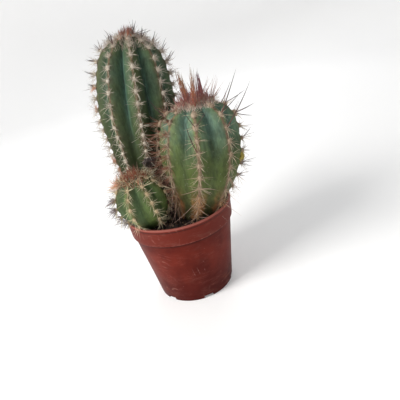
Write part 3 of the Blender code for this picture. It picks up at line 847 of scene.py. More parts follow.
rust = ((0.50, 0.17, 0.07), (0.32, 0.08, 0.035), (0.12, 0.035, 0.03))
rose = ((0.66, 0.40, 0.30), (0.40, 0.15, 0.13), (0.16, 0.05, 0.055))
creamRose = ((0.84, 0.68, 0.56), (0.74, 0.54, 0.44), (0.46, 0.30, 0.25))
wool = ((0.86, 0.74, 0.62), (0.84, 0.70, 0.60), (0.66, 0.50, 0.42))
greyCream = ((0.80, 0.72, 0.60), (0.70, 0.62, 0.52), (0.30, 0.24, 0.20))
pepper = ((0.80, 0.70, 0.58), (0.52, 0.40, 0.33), (0.10, 0.07, 0.065))
crownPlan = [
    (tallStem, "tallCrownBristles", dict(
        count=110, lowest=0.994, fan=0.45, messy=0.13, length=(3.0, 6.2), thick=0.12, colours=rust)),
    (tallStem, "tallCrownSpines", dict(
        count=480, lowest=0.92, fan=1.1, messy=0.4, length=(1.5, 5.4), thick=0.08, colours=pepper,
        seed=64)),
    (tallStem, "tallCrownWool", dict(
        count=520, lowest=0.93, fan=1.2, messy=0.45, length=(1.0, 3.0), thick=0.065,
        colours=creamRose, seed=71)),
    (roundStem, "roundCrownBristles", dict(
        count=430, lowest=0.963, fan=1.0, messy=0.32, length=(3.2, 9.4), thick=0.11, colours=rose)),
    (roundStem, "roundCrownWool", dict(
        count=1000, lowest=0.950, fan=0.9, messy=0.5, length=(1.2, 3.6), thick=0.07,
        colours=creamRose, seed=71)),
    (roundStem, "roundCrownRim", dict(
        count=800, lowest=0.942, inner=0.4, fan=0.7, messy=0.5, length=(1.5, 4.0), thick=0.065,
        colours=wool, seed=77)),
    (smallStem, "smallCrownBristles", dict(
        count=170, lowest=0.90, fan=0.9, messy=0.3, length=(3.0, 7.0), thick=0.14, colours=rust)),
    (smallStem, "smallCrownWool", dict(
        count=300, lowest=0.90, fan=1.2, messy=0.45, length=(0.8, 2.4), thick=0.07,
        colours=creamRose, seed=71)),
]
for stem, name, look in crownPlan:
    makeCrown(stem, name, look)
print("crowns done")


# Long spines and bundles, each from the areole of a rib nearest to a share of the height,
# to a tip in mm

def makeBundles(stem, name, look):
    # Every entry becomes count spines; they start within footSpread of the areole, end within
    # tipSpread of the tip, and reach shortest to all of the way.
    draw = np.random.default_rng(90)
    table = areoleTable(stem)
    ribs, shares, *aims = np.array(look["spines"]).T
    away = np.abs(table["share"][None] - shares[:, None])
    which = (away + 9 * (table["rib"][None] != ribs[:, None])).argmin(1)
    count = look.get("count", 1)
    start = np.repeat(table["foot"][which] + 0.3 * table["normal"][which], count, axis=0)
    aims = np.repeat(np.stack(aims, -1), count, axis=0)
    feet = start + draw.normal(0, look.get("footSpread", 0.15), start.shape)
    share = draw.uniform(look.get("shortest", 0.97), 1.0, (len(feet), 1))
    tips = feet + (aims + draw.normal(0, look.get("tipSpread", 0.1), aims.shape) - feet) * share
    bend = draw.normal(0, look.get("bent", 0.025), feet.shape) * norm(tips - feet)
    piece = needles(name, feet, tips, bend, look["thick"] * draw.uniform(0.8, 1.15, len(feet)),
                    draw.uniform(0, 1, len(feet)), rings=7, taper=look.get("taper", 1.5))
    dress(piece, threadMaterial(name + "Colour", *look["colours"]))


def makeTangle(stem, name, look):
    # Messy spines on the areoles of some ribs between two heights, and up to about spread away
    # along the rib; they point any way but inward, more often toward a direction.
    draw = np.random.default_rng(look.get("seed", 91))
    table = areoleTable(stem)
    low, high = look["shares"]
    picked = np.isin(table["rib"], look["ribs"]) & (table["share"] >= low) & (table["share"] <= high)
    which = np.repeat(np.flatnonzero(picked), look["count"])
    count, normal = len(which), table["normal"][which]
    heading = unit(normal * draw.uniform(0.15, 1.0, (count, 1)) + draw.normal(0, 0.6, (count, 3))
                   + np.array(look["toward"]))
    heading = unit(heading + normal * np.maximum(0.1 - (heading * normal).sum(1), 0)[:, None])
    feet = table["foot"][which] + normal * 0.3 + draw.normal(0, 0.4, (count, 3))
    feet += table["along"][which] * draw.normal(0, look.get("spread", 0), (count, 1))
    tips = feet + heading * draw.uniform(*look["length"], (count, 1))
    bend = draw.normal(0, 0.09, feet.shape) * norm(tips - feet)
    growSpines(stem, name, draw, feet, tips, bend, look["thick"], (0.75, 1.2), look["colours"])


darkBrown = ((0.14, 0.045, 0.03), (0.05, 0.022, 0.018), (0.035, 0.022, 0.02))
reddish = ((0.55, 0.28, 0.20), (0.34, 0.13, 0.10), (0.24, 0.10, 0.08))
palePink = ((0.56, 0.36, 0.25), (0.58, 0.38, 0.30), (0.48, 0.30, 0.24))
greyPurple = ((0.42, 0.34, 0.30), (0.24, 0.19, 0.20), (0.10, 0.08, 0.10))
orangeBrown = ((0.36, 0.10, 0.06), (0.34, 0.12, 0.05), (0.22, 0.14, 0.06))
crimson = ((0.34, 0.10, 0.08), (0.20, 0.04, 0.045), (0.09, 0.02, 0.035))
orangePink = ((0.80, 0.50, 0.34), (0.76, 0.36, 0.22), (0.80, 0.46, 0.32))
orangeTan = ((0.62, 0.34, 0.16), (0.58, 0.32, 0.15), (0.42, 0.25, 0.13))

# each entry is a rib, a share of the height and the tip in mm
bundlePlan = [
    (roundStem, "roundDarkSpines", dict(thick=0.22, colours=darkBrown, taper=3.0, spines=[
        (1, 0.86, 37.4, -22.2, 110.4), (1, 0.76, 41.2, -27.8, 105.4), (1, 0.86, 39.1, -19.2, 100.2),
        (2, 0.91, 43.2, -9.6, 98.7), (2, 0.81, 46.4, -10.6, 91.6), (2, 0.81, 43.5, -15.2, 87.2),
        (2, 0.69, 42.4, -10.5, 81.0), (0, 0.81, 10.7, -30.2, 101.9), (0, 0.81, 21.3, -30.7, 98.6),
        (0, 0.69, 11.0, -31.2, 96.4), (7, 0.86, -1.4, -19.9, 107.0), (3, 0.86, 41.0, 9.5, 101.0),
        (4, 0.91, 23.5, 15.5, 106.5), (5, 0.94, 5.5, 9.0, 108.0), (3, 0.75, 43.5, 8.0, 91.5),
    ])),
    (roundStem, "roundReddishSpines", dict(thick=0.14, colours=reddish, count=3, tipSpread=0.9,
        shortest=0.7, footSpread=0.4, spines=[
        (1, 0.977, 27.5, -14.9, 107.5), (2, 0.96, 32.4, -5.3, 108.9), (3, 0.94, 35.5, 3.2, 106.0),
        (3, 0.977, 31.5, 0.3, 108.2), (2, 0.96, 35.4, -6.6, 103.9), (4, 0.96, 22.0, 7.0, 107.5),
        (5, 0.977, 10.5, 2.5, 108.5), (4, 0.989, 17.5, -0.5, 110.5),
    ])),
    (roundStem, "roundBrownBundles", dict(thick=0.13, colours=orangeBrown, count=13, tipSpread=0.55,
        shortest=0.55, footSpread=0.75, taper=3.0, bent=0.05, spines=[
        (7, 0.997, 14.1, -9.8, 115.6), (0, 0.989, 20.3, -14.2, 116.6), (5, 0.997, 15.5, -1.5, 113.0),
    ])),
    (roundStem, "roundCrimsonBundles", dict(thick=0.13, colours=crimson, count=10, tipSpread=0.4,
        shortest=0.6, footSpread=0.6, taper=3.0, bent=0.04, spines=[
        (1, 0.997, 22.5, -10.6, 113.8), (3, 0.997, 24.0, -3.0, 111.5),
    ])),
    (roundStem, "roundPaleSpines", dict(thick=0.13, colours=palePink, spines=[
        (1, 0.18, 28.4, -28.8, 45.0), (1, 0.09, 21.4, -23.6, 42.2), (1, 0.27, 28.6, -28.1, 50.9),
        (1, 0.38, 30.9, -23.0, 53.2), (2, 0.33, 38.7, -8.7, 58.3), (2, 0.33, 36.2, -13.2, 54.1),
        (0, 0.23, -6.8, -33.0, 52.5), (7, 0.18, -3.5, -25.3, 49.0), (0, 0.14, 12.6, -29.3, 50.7),
        (0, 0.33, 1.0, -27.2, 63.6), (0, 0.33, 19.6, -28.9, 61.5), (3, 0.27, 38.0, 9.0, 55.0),
        (0, 0.09, -2.0, -24.5, 46.8), (0, 0.18, 1.5, -26.0, 46.5), (7, 0.09, -6.5, -22.0, 46.2),
        (7, 0.27, -5.0, -20.0, 50.0), (0, 0.09, 14.5, -24.8, 47.0), (7, 0.05, -1.5, -20.5, 45.6),
    ])),
    (roundStem, "roundSideSpines", dict(thick=0.085, colours=palePink, spines=[
        (0, 0.558, 6.5, -25.0, 76.0), (0, 0.558, 17.8, -25.0, 71.7), (0, 0.558, 6.5, -25.0, 73.9),
        (0, 0.462, 4.5, -25.0, 69.6), (0, 0.462, 8.3, -25.0, 68.0), (0, 0.462, 19.6, -25.0, 66.6),
        (0, 0.36, 15.3, -25.0, 61.6), (0, 0.36, 12.0, -25.0, 59.5), (0, 0.36, 5.6, -25.0, 66.3),
        (0, 0.558, 17.1, -25.0, 72.9),
    ])),
    (roundStem, "roundGreySpines", dict(thick=0.16, colours=greyPurple, count=4, tipSpread=1.5,
        shortest=0.6, footSpread=0.3, bent=0.06, spines=[
        (2, 0.44, 42.1, -9.7, 65.2), (2, 0.44, 38.8, -12.7, 62.8), (2, 0.56, 41.0, -9.3, 73.6),
        (2, 0.33, 38.7, -8.7, 58.3), (3, 0.38, 38.0, 10.0, 66.0), (3, 0.50, 41.0, 8.0, 74.0),
    ])),
    (tallStem, "tallRustTuft", dict(thick=0.17, colours=rust, count=8, tipSpread=0.6, shortest=0.45,
        footSpread=0.7, spines=[
        (0, 0.996, -1.6, 15.0, 136.6), (8, 0.996, -3.0, 15.0, 135.2), (0, 0.996, -0.7, 15.0, 135.1),
        (7, 0.996, -4.7, 15.0, 134.4), (1, 0.996, 0.2, 15.0, 133.8), (4, 0.99, 1.5, 22.0, 136.0),
    ])),
    (tallStem, "tallDarkSpines", dict(thick=0.16, colours=darkBrown, count=2, tipSpread=0.8,
        shortest=0.75, taper=3.0, spines=[
        (1, 0.996, 2.1, 13.2, 136.6), (7, 0.89, -24.9, 14.1, 125.9), (7, 0.94, -18.9, 14.9, 131.2),
        (8, 0.96, -12.4, 6.6, 133.8), (8, 0.96, -9.9, 6.8, 134.5), (7, 0.94, -16.2, 15.2, 132.3),
        (7, 0.81, -27.3, 13.5, 120.0), (7, 0.74, -27.5, 13.5, 115.0), (7, 0.975, -12.8, 16.1, 134.2),
        (2, 0.96, 10.5, 17.2, 130.1), (2, 0.91, 14.6, 15.8, 125.1), (2, 0.85, 17.2, 15.6, 120.0),
        (2, 0.78, 16.4, 14.6, 110.8), (1, 0.975, 6.1, 9.0, 132.7), (1, 0.99, 10.3, 15.0, 129.9),
        (1, 0.99, 1.9, 15.0, 135.4), (2, 0.99, 4.6, 15.0, 133.4),
    ])),
    (smallStem, "smallOldSpines", dict(thick=0.17, colours=greyPurple, count=5, tipSpread=1.2,
        shortest=0.55, footSpread=0.35, bent=0.05, spines=[
        (5, 0.76, -33.4, -18.2, 62.3), (5, 0.76, -32.4, -13.3, 63.4), (5, 0.54, -34.4, -11.8, 57.4),
        (5, 0.54, -34.2, -16.7, 55.4), (5, 0.54, -34.9, -14.4, 58.2), (5, 0.33, -34.0, -9.8, 48.8),
        (5, 0.33, -32.0, -9.5, 51.0), (5, 0.76, -31.4, -12.6, 66.6),
    ])),
    (smallStem, "smallRimSpines", dict(thick=0.13, colours=greyPurple, count=6, tipSpread=1.3,
        shortest=0.5, footSpread=0.35, bent=0.08, spines=[
        (5, 0.2, -30.2, -12.5, 53.0), (5, 0.2, -29.4, -13.5, 51.0), (4, 0.25, -29.8, -8.5, 52.0),
        (5, 0.33, -32.2, -13.0, 56.0), (5, 0.33, -31.5, -10.5, 54.0), (5, 0.2, -29.0, -10.5, 50.8),
    ])),
    (smallStem, "smallOrangeTufts", dict(thick=0.13, colours=orangePink, count=20, tipSpread=1.4,
        shortest=0.4, footSpread=0.6, spines=[
        (4, 0.84, -28.0, -8.2, 72.2), (5, 0.91, -28.6, -15.6, 72.2), (4, 0.84, -26.0, -4.7, 73.0),
        (4, 0.84, -23.6, -4.6, 72.8), (5, 0.91, -30.0, -13.5, 70.0),
    ])),
    (tallStem, "tallOrangeTufts", dict(thick=0.11, colours=orangePink, count=22, tipSpread=1.2,
        shortest=0.4, footSpread=0.6, spines=[
        (7, 0.74, -26.3, 11.8, 111.0), (7, 0.66, -26.8, 12.0, 105.0), (7, 0.32, -25.5, 9.5, 80.0),
        (7, 0.25, -23.0, 8.5, 75.5),
    ])),
]
for stem, name, look in bundlePlan:
    makeBundles(stem, name, look)
shoulderPink = ((0.70, 0.52, 0.42), (0.46, 0.30, 0.24), (0.16, 0.09, 0.08))
tangleBrown = ((0.40, 0.24, 0.15), (0.24, 0.12, 0.08), (0.11, 0.055, 0.045))
roseBrown = ((0.44, 0.23, 0.14), (0.30, 0.12, 0.075), (0.15, 0.06, 0.045))
tanglePlan = [
    (roundStem, "roundTangle", dict(ribs=(6, 7), shares=(0.2, 0.55), count=9, length=(3.0, 8.0),
        thick=0.12, colours=roseBrown, toward=(-0.2, -0.2, 0.1))),
    (roundStem, "roundCrossingSpines", dict(ribs=(6, 7), shares=(0.45, 0.86), count=11,
        length=(5.0, 11.0), thick=0.11, colours=roseBrown, toward=(-1.3, -0.1, 0), seed=93)),
    (roundStem, "roundCrownTangle", dict(ribs=(6, 7), shares=(0.78, 0.97), count=12,
        length=(3.0, 7.5), thick=0.11, colours=roseBrown, toward=(-0.6, -0.1, 0.5), seed=95)),
    (tallStem, "tallTangle", dict(ribs=(1, 2), shares=(0.08, 0.45), count=9, length=(3.0, 6.5),
        thick=0.13, colours=tangleBrown, toward=(0.1, -0.3, 0))),
    (smallStem, "smallTangle", dict(ribs=(1, 2), shares=(0.2, 0.85), count=7, length=(3.0, 6.5),
        thick=0.12, colours=roseBrown, toward=(0.2, -0.1, 0.2))),
    (tallStem, "tallUpperSpines", dict(ribs=range(9), shares=(0.66, 0.99), count=24,
        length=(1.4, 3.8), thick=0.06, colours=greyCream, toward=(0, 0, 0.1))),
    (tallStem, "tallShoulderSpines", dict(ribs=(2, 3, 4), shares=(0.76, 0.99), count=34,
        length=(1.6, 4.4), thick=0.06, colours=shoulderPink, toward=(0.3, 0, 0.2), spread=1.6,
        seed=97)),
    (tallStem, "tallSideSpines", dict(ribs=(6, 7), shares=(0.12, 0.84), count=13,
        length=(1.4, 4.2), thick=0.06, colours=shoulderPink, toward=(-0.2, 0, 0), spread=1.6,
        seed=99)),
    (smallStem, "smallOldTangle", dict(ribs=(4, 5), shares=(0.15, 0.8), count=20,
        length=(2.5, 6.0), thick=0.1, colours=greyPurple, toward=(-0.7, -0.1, -0.15), spread=0.8,
        seed=101)),
    (roundStem, "roundBaseTangle", dict(ribs=(0, 1, 7), shares=(0, 0.26), count=38,
        length=(1.6, 5.5), thick=0.08, colours=orangeTan, toward=(0, -0.2, 0), spread=1.2,
        seed=103)),
    (roundStem, "roundUpperSpines", dict(ribs=range(8), shares=(0.80, 0.97), count=2,
        length=(2.5, 5.5), thick=0.08, colours=greyCream, toward=(0, 0, 0.4))),
]
for stem, name, look in tanglePlan:
    makeTangle(stem, name, look)
print("bundles done")


# Two knobs: a dried bud low on the tall stem, and a yellow scar on the round one

def makeKnob(stem, name, look):
    # A lumpy dome, its radius over the polar angle p being 1, with a dent of dent exp(-(r / 0.5)
    # squared) at its top; stretched by size across, along and out of the rib.
    polar = np.pi * np.linspace(0.04, 0.99, 26)[:, None]
    turn = circle(40)[None]
    flat = np.sin(polar)
    local = np.stack([flat * np.cos(turn), flat * np.sin(turn), -np.cos(polar) + 0 * turn], -1)
    local[..., 2] -= np.where(local[..., 2] > 0, look["dent"] * np.exp(-(flat / 0.5) ** 2), 0)
    local *= 1 + look["lumpy"] * wobble(local, 4.5, look["seed"])[..., None]
    local = local * np.array(look["size"])
    share, angle = np.array([look["share"]]), np.array([math.radians(look["angle"])])
    normal = crestNormal(stem, share, angle)[0]
    _, _, up = stemFrame(stem, share)
    across = unit(np.cross(up[0], normal))
    where = stemSurface(stem, share, angle)[0] + normal * look["stand"]
    points = where + local @ np.stack([across, np.cross(normal, across), normal])
    values = {"up": local[..., 2] / look["size"][2]}
    return skinMesh(name, points, points[0].mean(0), points[-1].mean(0), values)


def knobMaterial(name, look):
    # cloudy crust, its colours by its height
    paint = Paint(name)
    crust = paint.noise(*look["crust"])
    return paint.finish(paint.ramp(crust, look["stops"]), look["dullness"], crust, look["depth"])


knobPlan = [
    (tallStem, "driedBud", dict(
        share=0.335, angle=-86, size=(3.4, 2.6, 2.4), dent=0.45, lumpy=0.22, seed=4, stand=1.2,
        crust=(1.4, 5, 0.7), dullness=0.7, depth=0.5,
        stops=[(0.35, (0.012, 0.007, 0.007)), (0.6, (0.04, 0.025, 0.022)), (0.8, (0.20, 0.14, 0.11))])),
    (roundStem, "yellowScar", dict(
        share=0.52, angle=-8, size=(2.0, 3.6, 2.0), dent=0.15, lumpy=0.2, seed=9, stand=0.3,
        crust=(0.9, 4, 0.65), dullness=0.55, depth=0.4,
        stops=[(0.3, (0.10, 0.085, 0.02)), (0.5, (0.33, 0.25, 0.03)), (0.72, (0.40, 0.33, 0.06))])),
]
for stem, name, look in knobPlan:
    dress(makeKnob(stem, name, look), knobMaterial(name, look))
print("knobs done")


# Pot

potSizes = dict(rimRadius=27.5, height=48.0, baseRadius=20.4, wall=1.0, floor=1.2, bandHeight=9.7,
                bandTaper=0.6, bandStep=0.9, beadHigh=1.5, beadOut=0.22, columns=216,
                slots=6, slotWide=5.2, slotHigh=1.6, slotInner=15.5, slotTurn=-79.0)


def softCorners(points, rounding, steps=5):
    # each corner of an open profile becomes a small curve: the parabola between two points that
    # lie a rounding away from it along its two sides
    points = np.array(points, float)
    before, corner, after = points[:-2], points[1:-1], points[2:]
    reach = np.array(rounding)[:, None]
    start, end = (corner + unit(far - corner) * np.minimum(reach, 0.45 * norm(far - corner))
                  for far in (before, after))
    t = np.linspace(0, 1, steps)[None, :, None]
    curves = start[:, None] * (1 - t) ** 2 + 2 * corner[:, None] * t * (1 - t) + end[:, None] * t ** 2
    return np.concatenate([points[:1], curves.reshape(-1, 2), points[-1:]])


def fillIn(profile, longest):
    # extra points along a profile, none further apart than longest
    lengths = np.linalg.norm(np.diff(profile, axis=0), axis=1)
    pieces = np.maximum(np.ceil(lengths / longest), 1).astype(int)
    at = np.concatenate([k + np.arange(n) / n for k, n in enumerate(pieces)] + [[len(pieces)]])
    index = np.arange(len(profile))
    return np.stack([np.interp(at, index, profile[:, 0]), np.interp(at, index, profile[:, 1])], 1)


def bandPlace(size):
    # the height where the rim band starts, its outer radius there, and the body's just below it
    low = size["rimRadius"] - size["bandTaper"]
    return size["height"] - size["bandHeight"], low, low - size["bandStep"]


def innerWall(height):
    # inner radius of the pot: the tapering body, then the wider band
    size = potSizes
    bandBottom, bandLow, bodyTop = bandPlace(size)
    body = size["baseRadius"] + (bodyTop - size["baseRadius"]) * height / bandBottom
    band = bandLow + size["bandTaper"] * (height - bandBottom) / size["bandHeight"]
    return np.where(height >= bandBottom + size["wall"], band, body) - size["wall"]


def cutAway(piece, cutters, sharpest):
    # takes the shapes of other meshes out of a piece, keeps the result in its mesh, and leaves
    # edges of more than sharpest degrees sharp
    for cutter in cutters:
        modifier = piece.modifiers.new("cut", "BOOLEAN")
        modifier.operation = "DIFFERENCE"
        modifier.solver = "EXACT"
        modifier.object = cutter
        bpy.context.view_layer.objects.active = piece
        bpy.ops.object.modifier_apply(modifier=modifier.name)
        bpy.data.objects.remove(cutter)
    piece.data.shade_smooth()
    piece.data.set_sharp_from_angle(angle=math.radians(sharpest))
    return piece


def drainCutter(name, way):
    # a bar with rounded ends, half below the base, that points out at an angle in radians
    size = potSizes
    length = size["baseRadius"] - size["slotInner"] + 2
    x, y = (np.sign(wave) * np.abs(wave) ** 0.3 for wave in (np.cos(circle(32)), np.sin(circle(32))))
    x, y = x * length / 2 + size["slotInner"] + length / 2, y * (size["slotWide"] / 2)
    ring = np.stack([x * np.cos(way) - y * np.sin(way), x * np.sin(way) + y * np.cos(way)], -1)
    low, high = -size["slotHigh"], size["slotHigh"]
    ends = [np.column_stack([ring, np.full(len(ring), z)]) for z in (low, high)]
    return skinMesh(name, np.array(ends), (*ring.mean(0), low), (*ring.mean(0), high))


def makePot():
    # A profile turned round the axis: underside, body, step, band, rolled bead, inner wall, floor.
    # The radius is uneven by two slow waves, 0.07 sin(3 a + 0.07 z) + 0.04 sin(5 a - 0.11 z + 1).
    size = potSizes
    rim, high, low = size["rimRadius"], size["height"], size["baseRadius"]
    bandBottom, bandLow, bodyTop = bandPlace(size)
    bead, out, wall = size["beadHigh"], size["beadOut"], size["wall"]
    profile = [(0.05, 0), (low - 0.2, 0), (low, 0.2), (bodyTop, bandBottom), (bandLow, bandBottom),
               (rim - 0.1, high - bead - 0.25), (rim + out, high - bead), (rim + out, high),
               (rim - wall, high), (bandLow - wall, bandBottom + wall), (bodyTop - wall, bandBottom),
               (float(innerWall(size["floor"])), size["floor"]), (0.05, size["floor"])]
    rounding = [0.3, 0.3, 0.25, 0.35, 0.2, 0.3, 0.5, 0.45, 0.6, 0.6, 0.8]
    profile = fillIn(softCorners(profile, rounding), 1.6)
    angle = circle(size["columns"])
    radius, height = profile[:, 0][:, None], profile[:, 1][:, None]
    uneven = 0.07 * np.sin(3 * angle + 0.07 * height) + 0.04 * np.sin(5 * angle - 0.11 * height + 1)
    reach = radius + uneven * np.clip(height / 12, 0, 1) * np.clip((radius - 15) / 5, 0, 1)
    pot = skinMesh("potShell", lathe(reach, height, angle), (0, 0, 0), (0, 0, size["floor"]))
    turns = np.radians(size["slotTurn"] + 360 / size["slots"] * np.arange(size["slots"]))
    return cutAway(pot, [drainCutter(f"drain{k}", way) for k, way in enumerate(turns)], 40)


# deep is a deeper red for cloudy patches and also painted shade low down and under the band; the lip
# colour is a painted highlight on top of the bead, and the darkest colour is painted shadow under lip
# and band.
potLook = dict(red=(0.140, 0.0165, 0.0085), deep=(0.052, 0.004, 0.0025), band=(0.125, 0.019, 0.012),
               lipHighlight=(0.30, 0.095, 0.075), worn=(0.27, 0.085, 0.062), scuff=(0.36, 0.17, 0.14),
               dust=(0.17, 0.065, 0.05), shadowLineColour=(0.016, 0.004, 0.004))


def potMaterial():
    # Satin plastic: cloudy red, darker low down as painted shade, browner on the band, a pale lip
    # that is a painted highlight, long scratches that run round it, short curved ones, dots of dust, a
    # soft painted shade under the band, and painted shadow lines in the corners under lip and band.
    paint = Paint("potPlastic", potLook)
    height = paint.height()
    band, bead = bandPlace(potSizes)[0], potSizes["height"] - potSizes["beadHigh"]

    def above(edge, low, high):
        # rises from 0 to 1 between two heights in mm that are counted from an edge of the pot
        return height.step(edge + low, edge + high)

    cloud = paint.noise(0.07, 4, 0.6)
    paint.colour = potLook["red"]
    paint.cover(cloud.step(0.35, 0.7) * 0.7, "deep")
    # painted shade: the lower body darker towards the base
    paint.cover((1 - height.step(0, 26)) * 0.85, "deep")
    paint.cover(above(band, 0, 0.4) * 0.8, "band")
    smear = paint.noise(0.11, 5, 0.65, (1, 1, 2.6)).step(0.5, 0.78)
    paint.cover(smear * (0.25 + 0.3 * height.step(30, 42)), "dust")
    rubbed = 1 - (paint.noise(0.035, 4, 0.7, (1, 1, 30)) * 9).toWhole().step(0.04, 0.2)
    rubbed = rubbed * paint.noise(0.12, 3, 0.6, (1, 1, 2)).step(0.48, 0.66)
    paint.cover(rubbed * 0.35, "worn")
    curved = 1 - (paint.noise(0.045, 0) * 18).toWhole().step(0.03, 0.12)
    curved = curved * paint.noise(0.085, 2).step(0.55, 0.68) * paint.noise(0.6, 3).step(0.35, 0.6)
    paint.cover(curved * 0.38, "scuff")
    dots = (1 - paint.spots(0.3).step(0.04, 0.09)) * paint.noise(0.5, 2).step(0.5, 0.6)
    paint.cover(dots * 0.7, "scuff")
    edge = above(band, -0.3, 0.1) * (1 - above(band, 0.4, 1))
    paint.cover(edge * paint.noise(0.8, 4, 0.7).step(0.4, 0.7) * 0.6, "worn")
    shade = above(band, -10.3, -0.3) * (1 - above(band, -0.2, 0))
    paint.cover(shade * 0.4, "deep")
    # painted shadow: thin dark lines just under the band's step and under the bead
    shadowLines = above(band, -1.7, -0.3) * (1 - above(band, -0.2, 0.05))
    shadowLines = shadowLines + above(bead, -0.8, -0.2) * (1 - above(bead, 0, 0.2))
    paint.cover(shadowLines * 0.75, "shadowLineColour")
    # painted highlight: a pale strip along the top of the bead
    paint.cover(above(bead, 0.5, 1) * 0.85, "lipHighlight")
    shine = 0.38 + 0.15 * cloud + 0.25 * smear + 0.2 * curved
    bumps = paint.noise(1.6, 4, 0.6) * 0.6 + paint.noise(0.3, 2) * 1.2 - curved * 0.4
    paint.shader.inputs["Specular IOR Level"].default_value = 0.08
    return paint.finish(paint.colour, shine, bumps, 0.05)


dress(makePot(), potMaterial(), "pot", slot="pot_plastic")
print("pot done")


# Soil

soilSizes = dict(gap=0.3, columns=200, rings=70)
crumbPlan = dict(count=1100, reach=25.6, size=(0.3, 0.95), chips=0.1, chipSize=1.6, wall=26.0,
                 intoStem=0.8)  # chips is the share of crumbs that are larger


def soilHeight(x, y):
    # Lumps of crumbs on top of slow waves: 0.35 times the waves sin(0.8 x + 1) sin(0.8 y) +
    # 0.6 sin(1.84 x - 1.36 y), and two finer noises.
    at = np.stack([x, y, np.zeros_like(x)], -1)
    slow = np.sin(0.8 * x + 1) * np.sin(0.8 * y) + 0.6 * np.sin(1.84 * x - 1.36 * y)
    return soilTop + 0.35 * slow + 0.45 * wobble(at, 2.3, 3) + 0.22 * wobble(at, 5.5, 4)


def makeSoil():
    # fills the pot; its top is a disc of rings, with a hole for each stem's buried foot
    size = soilSizes
    low = potSizes["floor"] + size["gap"]
    bandBottom = bandPlace(potSizes)[0]
    heights = np.array([low, 12, 24, bandBottom - 0.3, bandBottom + 1.3, 41.5, soilTop - 0.6])
    radii = innerWall(heights) - size["gap"]
    angle = circle(size["columns"])
    side = lathe(radii[:, None], heights[:, None], angle)
    inward = radii[-1] * (1 - np.linspace(0.004, 0.99, size["rings"]))[:, None]
    x, y = inward * np.cos(angle), inward * np.sin(angle)
    rings = np.concatenate([side, np.stack([x, y, soilHeight(x, y)], -1)])
    soil = skinMesh("soilBed", rings, (0, 0, low), (0, 0, soilTop))
    cutters = []
    for stem in stems:
        share = np.array([-(foot["depth"] + 0.5), -6, -1, 0, 2, 4]) / rise(stem)
        share, turn = np.meshgrid(share, circle(96), indexing="ij")
        hole = stemSurface(stem, share, turn, np.full(share.shape, 0.2))
        cutters.append(skinMesh(stem["name"] + "Hole", hole, centreLine(stem, share[0, 0]),
                                centreLine(stem, share[-1, 0])))
    return cutAway(soil, cutters, 50)


def soilMaterial():
    # dark crumbs with pale grit
    paint = Paint("pottingMix")
    crumbs = paint.noise(1.3, 5, 0.7)
    colour = paint.ramp(crumbs, [(0.25, (0.007, 0.004, 0.003)), (0.5, (0.020, 0.010, 0.007)),
                                 (0.75, (0.055, 0.029, 0.019))])
    pale = 1 - paint.spots(1.1).step(0.08, 0.2)
    colour = paint.mix(pale * paint.noise(0.7, 2).step(0.55, 0.65) * 0.7, colour, (0.20, 0.14, 0.10))
    return paint.finish(colour, 0.85 + 0.1 * crumbs, crumbs + paint.noise(4.0, 3) * 0.6, 0.5)


def makeCrumbs():
    # loose crumbs and bark chips lying on the soil, spread evenly, clear of the pot and the stems
    draw = np.random.default_rng(5)
    plan = crumbPlan
    count = plan["count"]
    reach = plan["reach"] * np.sqrt(draw.uniform(0.02, 1, count))
    turn = draw.uniform(0, 2 * np.pi, count)
    x, y = reach * np.cos(turn), reach * np.sin(turn)
    size = draw.uniform(*plan["size"], count)
    size = size * np.where(draw.uniform(0, 1, count) > 1 - plan["chips"], plan["chipSize"], 1)
    middle = np.stack([x, y, soilHeight(x, y) + 0.25 * size], -1)
    free = reach < plan["wall"] - size * 1.3
    for stem in stems:
        free &= clearBy(stem, middle) > -plan["intoStem"]
    first = unit(draw.normal(size=(count, 3)))
    second = unit(np.cross(first, draw.normal(size=(count, 3))))
    frames = np.stack([first, second, np.cross(first, second)], 1)[free]
    sizes = (size[:, None] * draw.uniform(0.5, 1.3, (count, 3)))[free]
    return blobs("soilCrumbs", middle[free], frames, sizes, draw.uniform(0, 1, free.sum()), 0.25, 8,
                 columns=5, rows=2)


def crumbMaterial():
    # each crumb dark or, now and then, a pale chip
    paint = Paint("looseCrumbs")
    tint = paint.attribute("tint") + (paint.noise(1.2, 4, 0.7) - 0.5) * 0.4
    colour = paint.ramp(tint, [(0.0, (0.010, 0.005, 0.004)), (0.6, (0.028, 0.014, 0.009)),
                               (0.9, (0.08, 0.043, 0.026)), (1.0, (0.28, 0.18, 0.11))])
    return paint.finish(colour, 0.95, paint.noise(3.5, 3), 0.3)


dress(makeSoil(), soilMaterial(), "soil", slot="soil")
dress(makeCrumbs(), crumbMaterial())
print("soil done")


# Floor, light and camera

stagePlan = dict(flat=700, bend=300, wall=(450, 700), shades=(0.86, 0.88), glow=0.14,
                 skyColour=(0.95, 0.97, 1.0), skyStrength=0.22, lightAim=(0, 0, 0.06))
lightPlan = [  # name, place in m, size in m, power in W, colour
    ("keyLight", (-0.58, -0.26, 0.52), 0.34, 6.9, (1.0, 0.985, 0.96)),
    ("backLight", (0.15, 0.60, 0.50), 0.50, 1.6, (1.0, 1.0, 1.0)),
]
viewpoint = dict(distance=186.71, height=132.59, pitch=-0.4317, yaw=-0.0634, roll=-0.2313, lens=35.296)


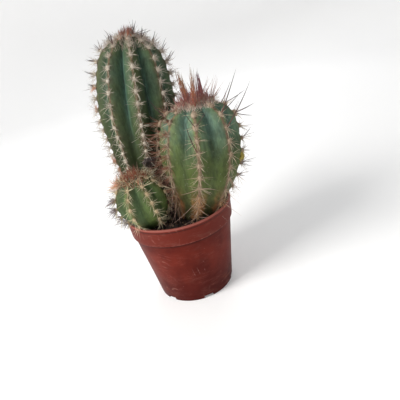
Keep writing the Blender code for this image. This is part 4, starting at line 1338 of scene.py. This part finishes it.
def makeFloor():
    # a wide pale disc that curves up into a wall all round, a quarter circle of radius bend
    plan = stagePlan
    flat, bend, (dim, pale) = plan["flat"], plan["bend"], plan["shades"]
    paint = Paint("paleFloor")
    paint.finish(paint.mix(paint.noise(0.01, 2), (dim, dim, dim), (pale, pale, pale)), 0.9)
    paint.shader.inputs["Emission Color"].default_value = (1, 1, 1, 1)
    paint.shader.inputs["Emission Strength"].default_value = plan["glow"]
    turn = np.linspace(0.05, 1.57, 24)
    reach = np.concatenate([np.linspace(20, flat, 30), flat + bend * np.sin(turn),
                            [flat + bend, flat + bend]])
    high = np.concatenate([np.zeros(30), bend * (1 - np.cos(turn)), plan["wall"]])
    angle = circle(96)
    rings = lathe(reach[:, None], high[:, None], angle)[::-1]
    quads, fans, _, _ = skinFaces(*rings.shape[:2])
    points = np.concatenate([rings.reshape(-1, 3), [(0, 0, 0), (0, 0, 0)]])
    floor = putMesh("floorSweep", points, [quads, fans[len(angle):]])
    floor.data.materials.append(paint.material)


def stand(name, data, place, axes):
    # an object at a place in metres, its own x, y and z along three axes
    made = bpy.data.objects.new(name, data)
    turn = Matrix(np.column_stack(axes).tolist()).to_4x4()
    made.matrix_world = Matrix.Translation(place) @ turn
    bpy.context.scene.collection.objects.link(made)
    return made


def makeLights():
    for name, place, size, power, colour in lightPlan:
        lamp = bpy.data.lights.new(name, "AREA")
        lamp.size = size
        lamp.energy = power
        lamp.color = colour
        z = unit(np.array(place) - np.array(stagePlan["lightAim"]))
        x = unit(np.cross([0, 0, 1.0], z))
        stand(name, lamp, place, (x, np.cross(z, x), z))
    world = bpy.data.worlds.new("softSky")
    world.use_nodes = True
    sky = world.node_tree.nodes["Background"]
    sky.inputs["Color"].default_value = (*stagePlan["skyColour"], 1)
    sky.inputs["Strength"].default_value = stagePlan["skyStrength"]
    bpy.context.scene.world = world


def makeCamera():
    # stands in front of the pot and above it, looks down at it and leans to one side
    view = viewpoint
    turned = Matrix.Rotation(view["yaw"], 3, "Z") @ Matrix.Rotation(view["pitch"], 3, "X")
    right, forward, up = (np.array(turned.col[k]) for k in range(3))
    cosine, sine = math.cos(view["roll"]), math.sin(view["roll"])
    data = bpy.data.cameras.new("photoCamera")
    data.sensor_width = 36
    data.lens = view["lens"]
    data.clip_start = 0.001
    data.clip_end = 10
    place = (0, -view["distance"] * mm, view["height"] * mm)
    axes = (cosine * right + sine * up, cosine * up - sine * right, -forward)
    bpy.context.scene.camera = stand("photoCamera", data, place, axes)


makeFloor()
makeLights()
makeCamera()
bpy.context.scene.view_settings.view_transform = "Standard"
print("stage done")
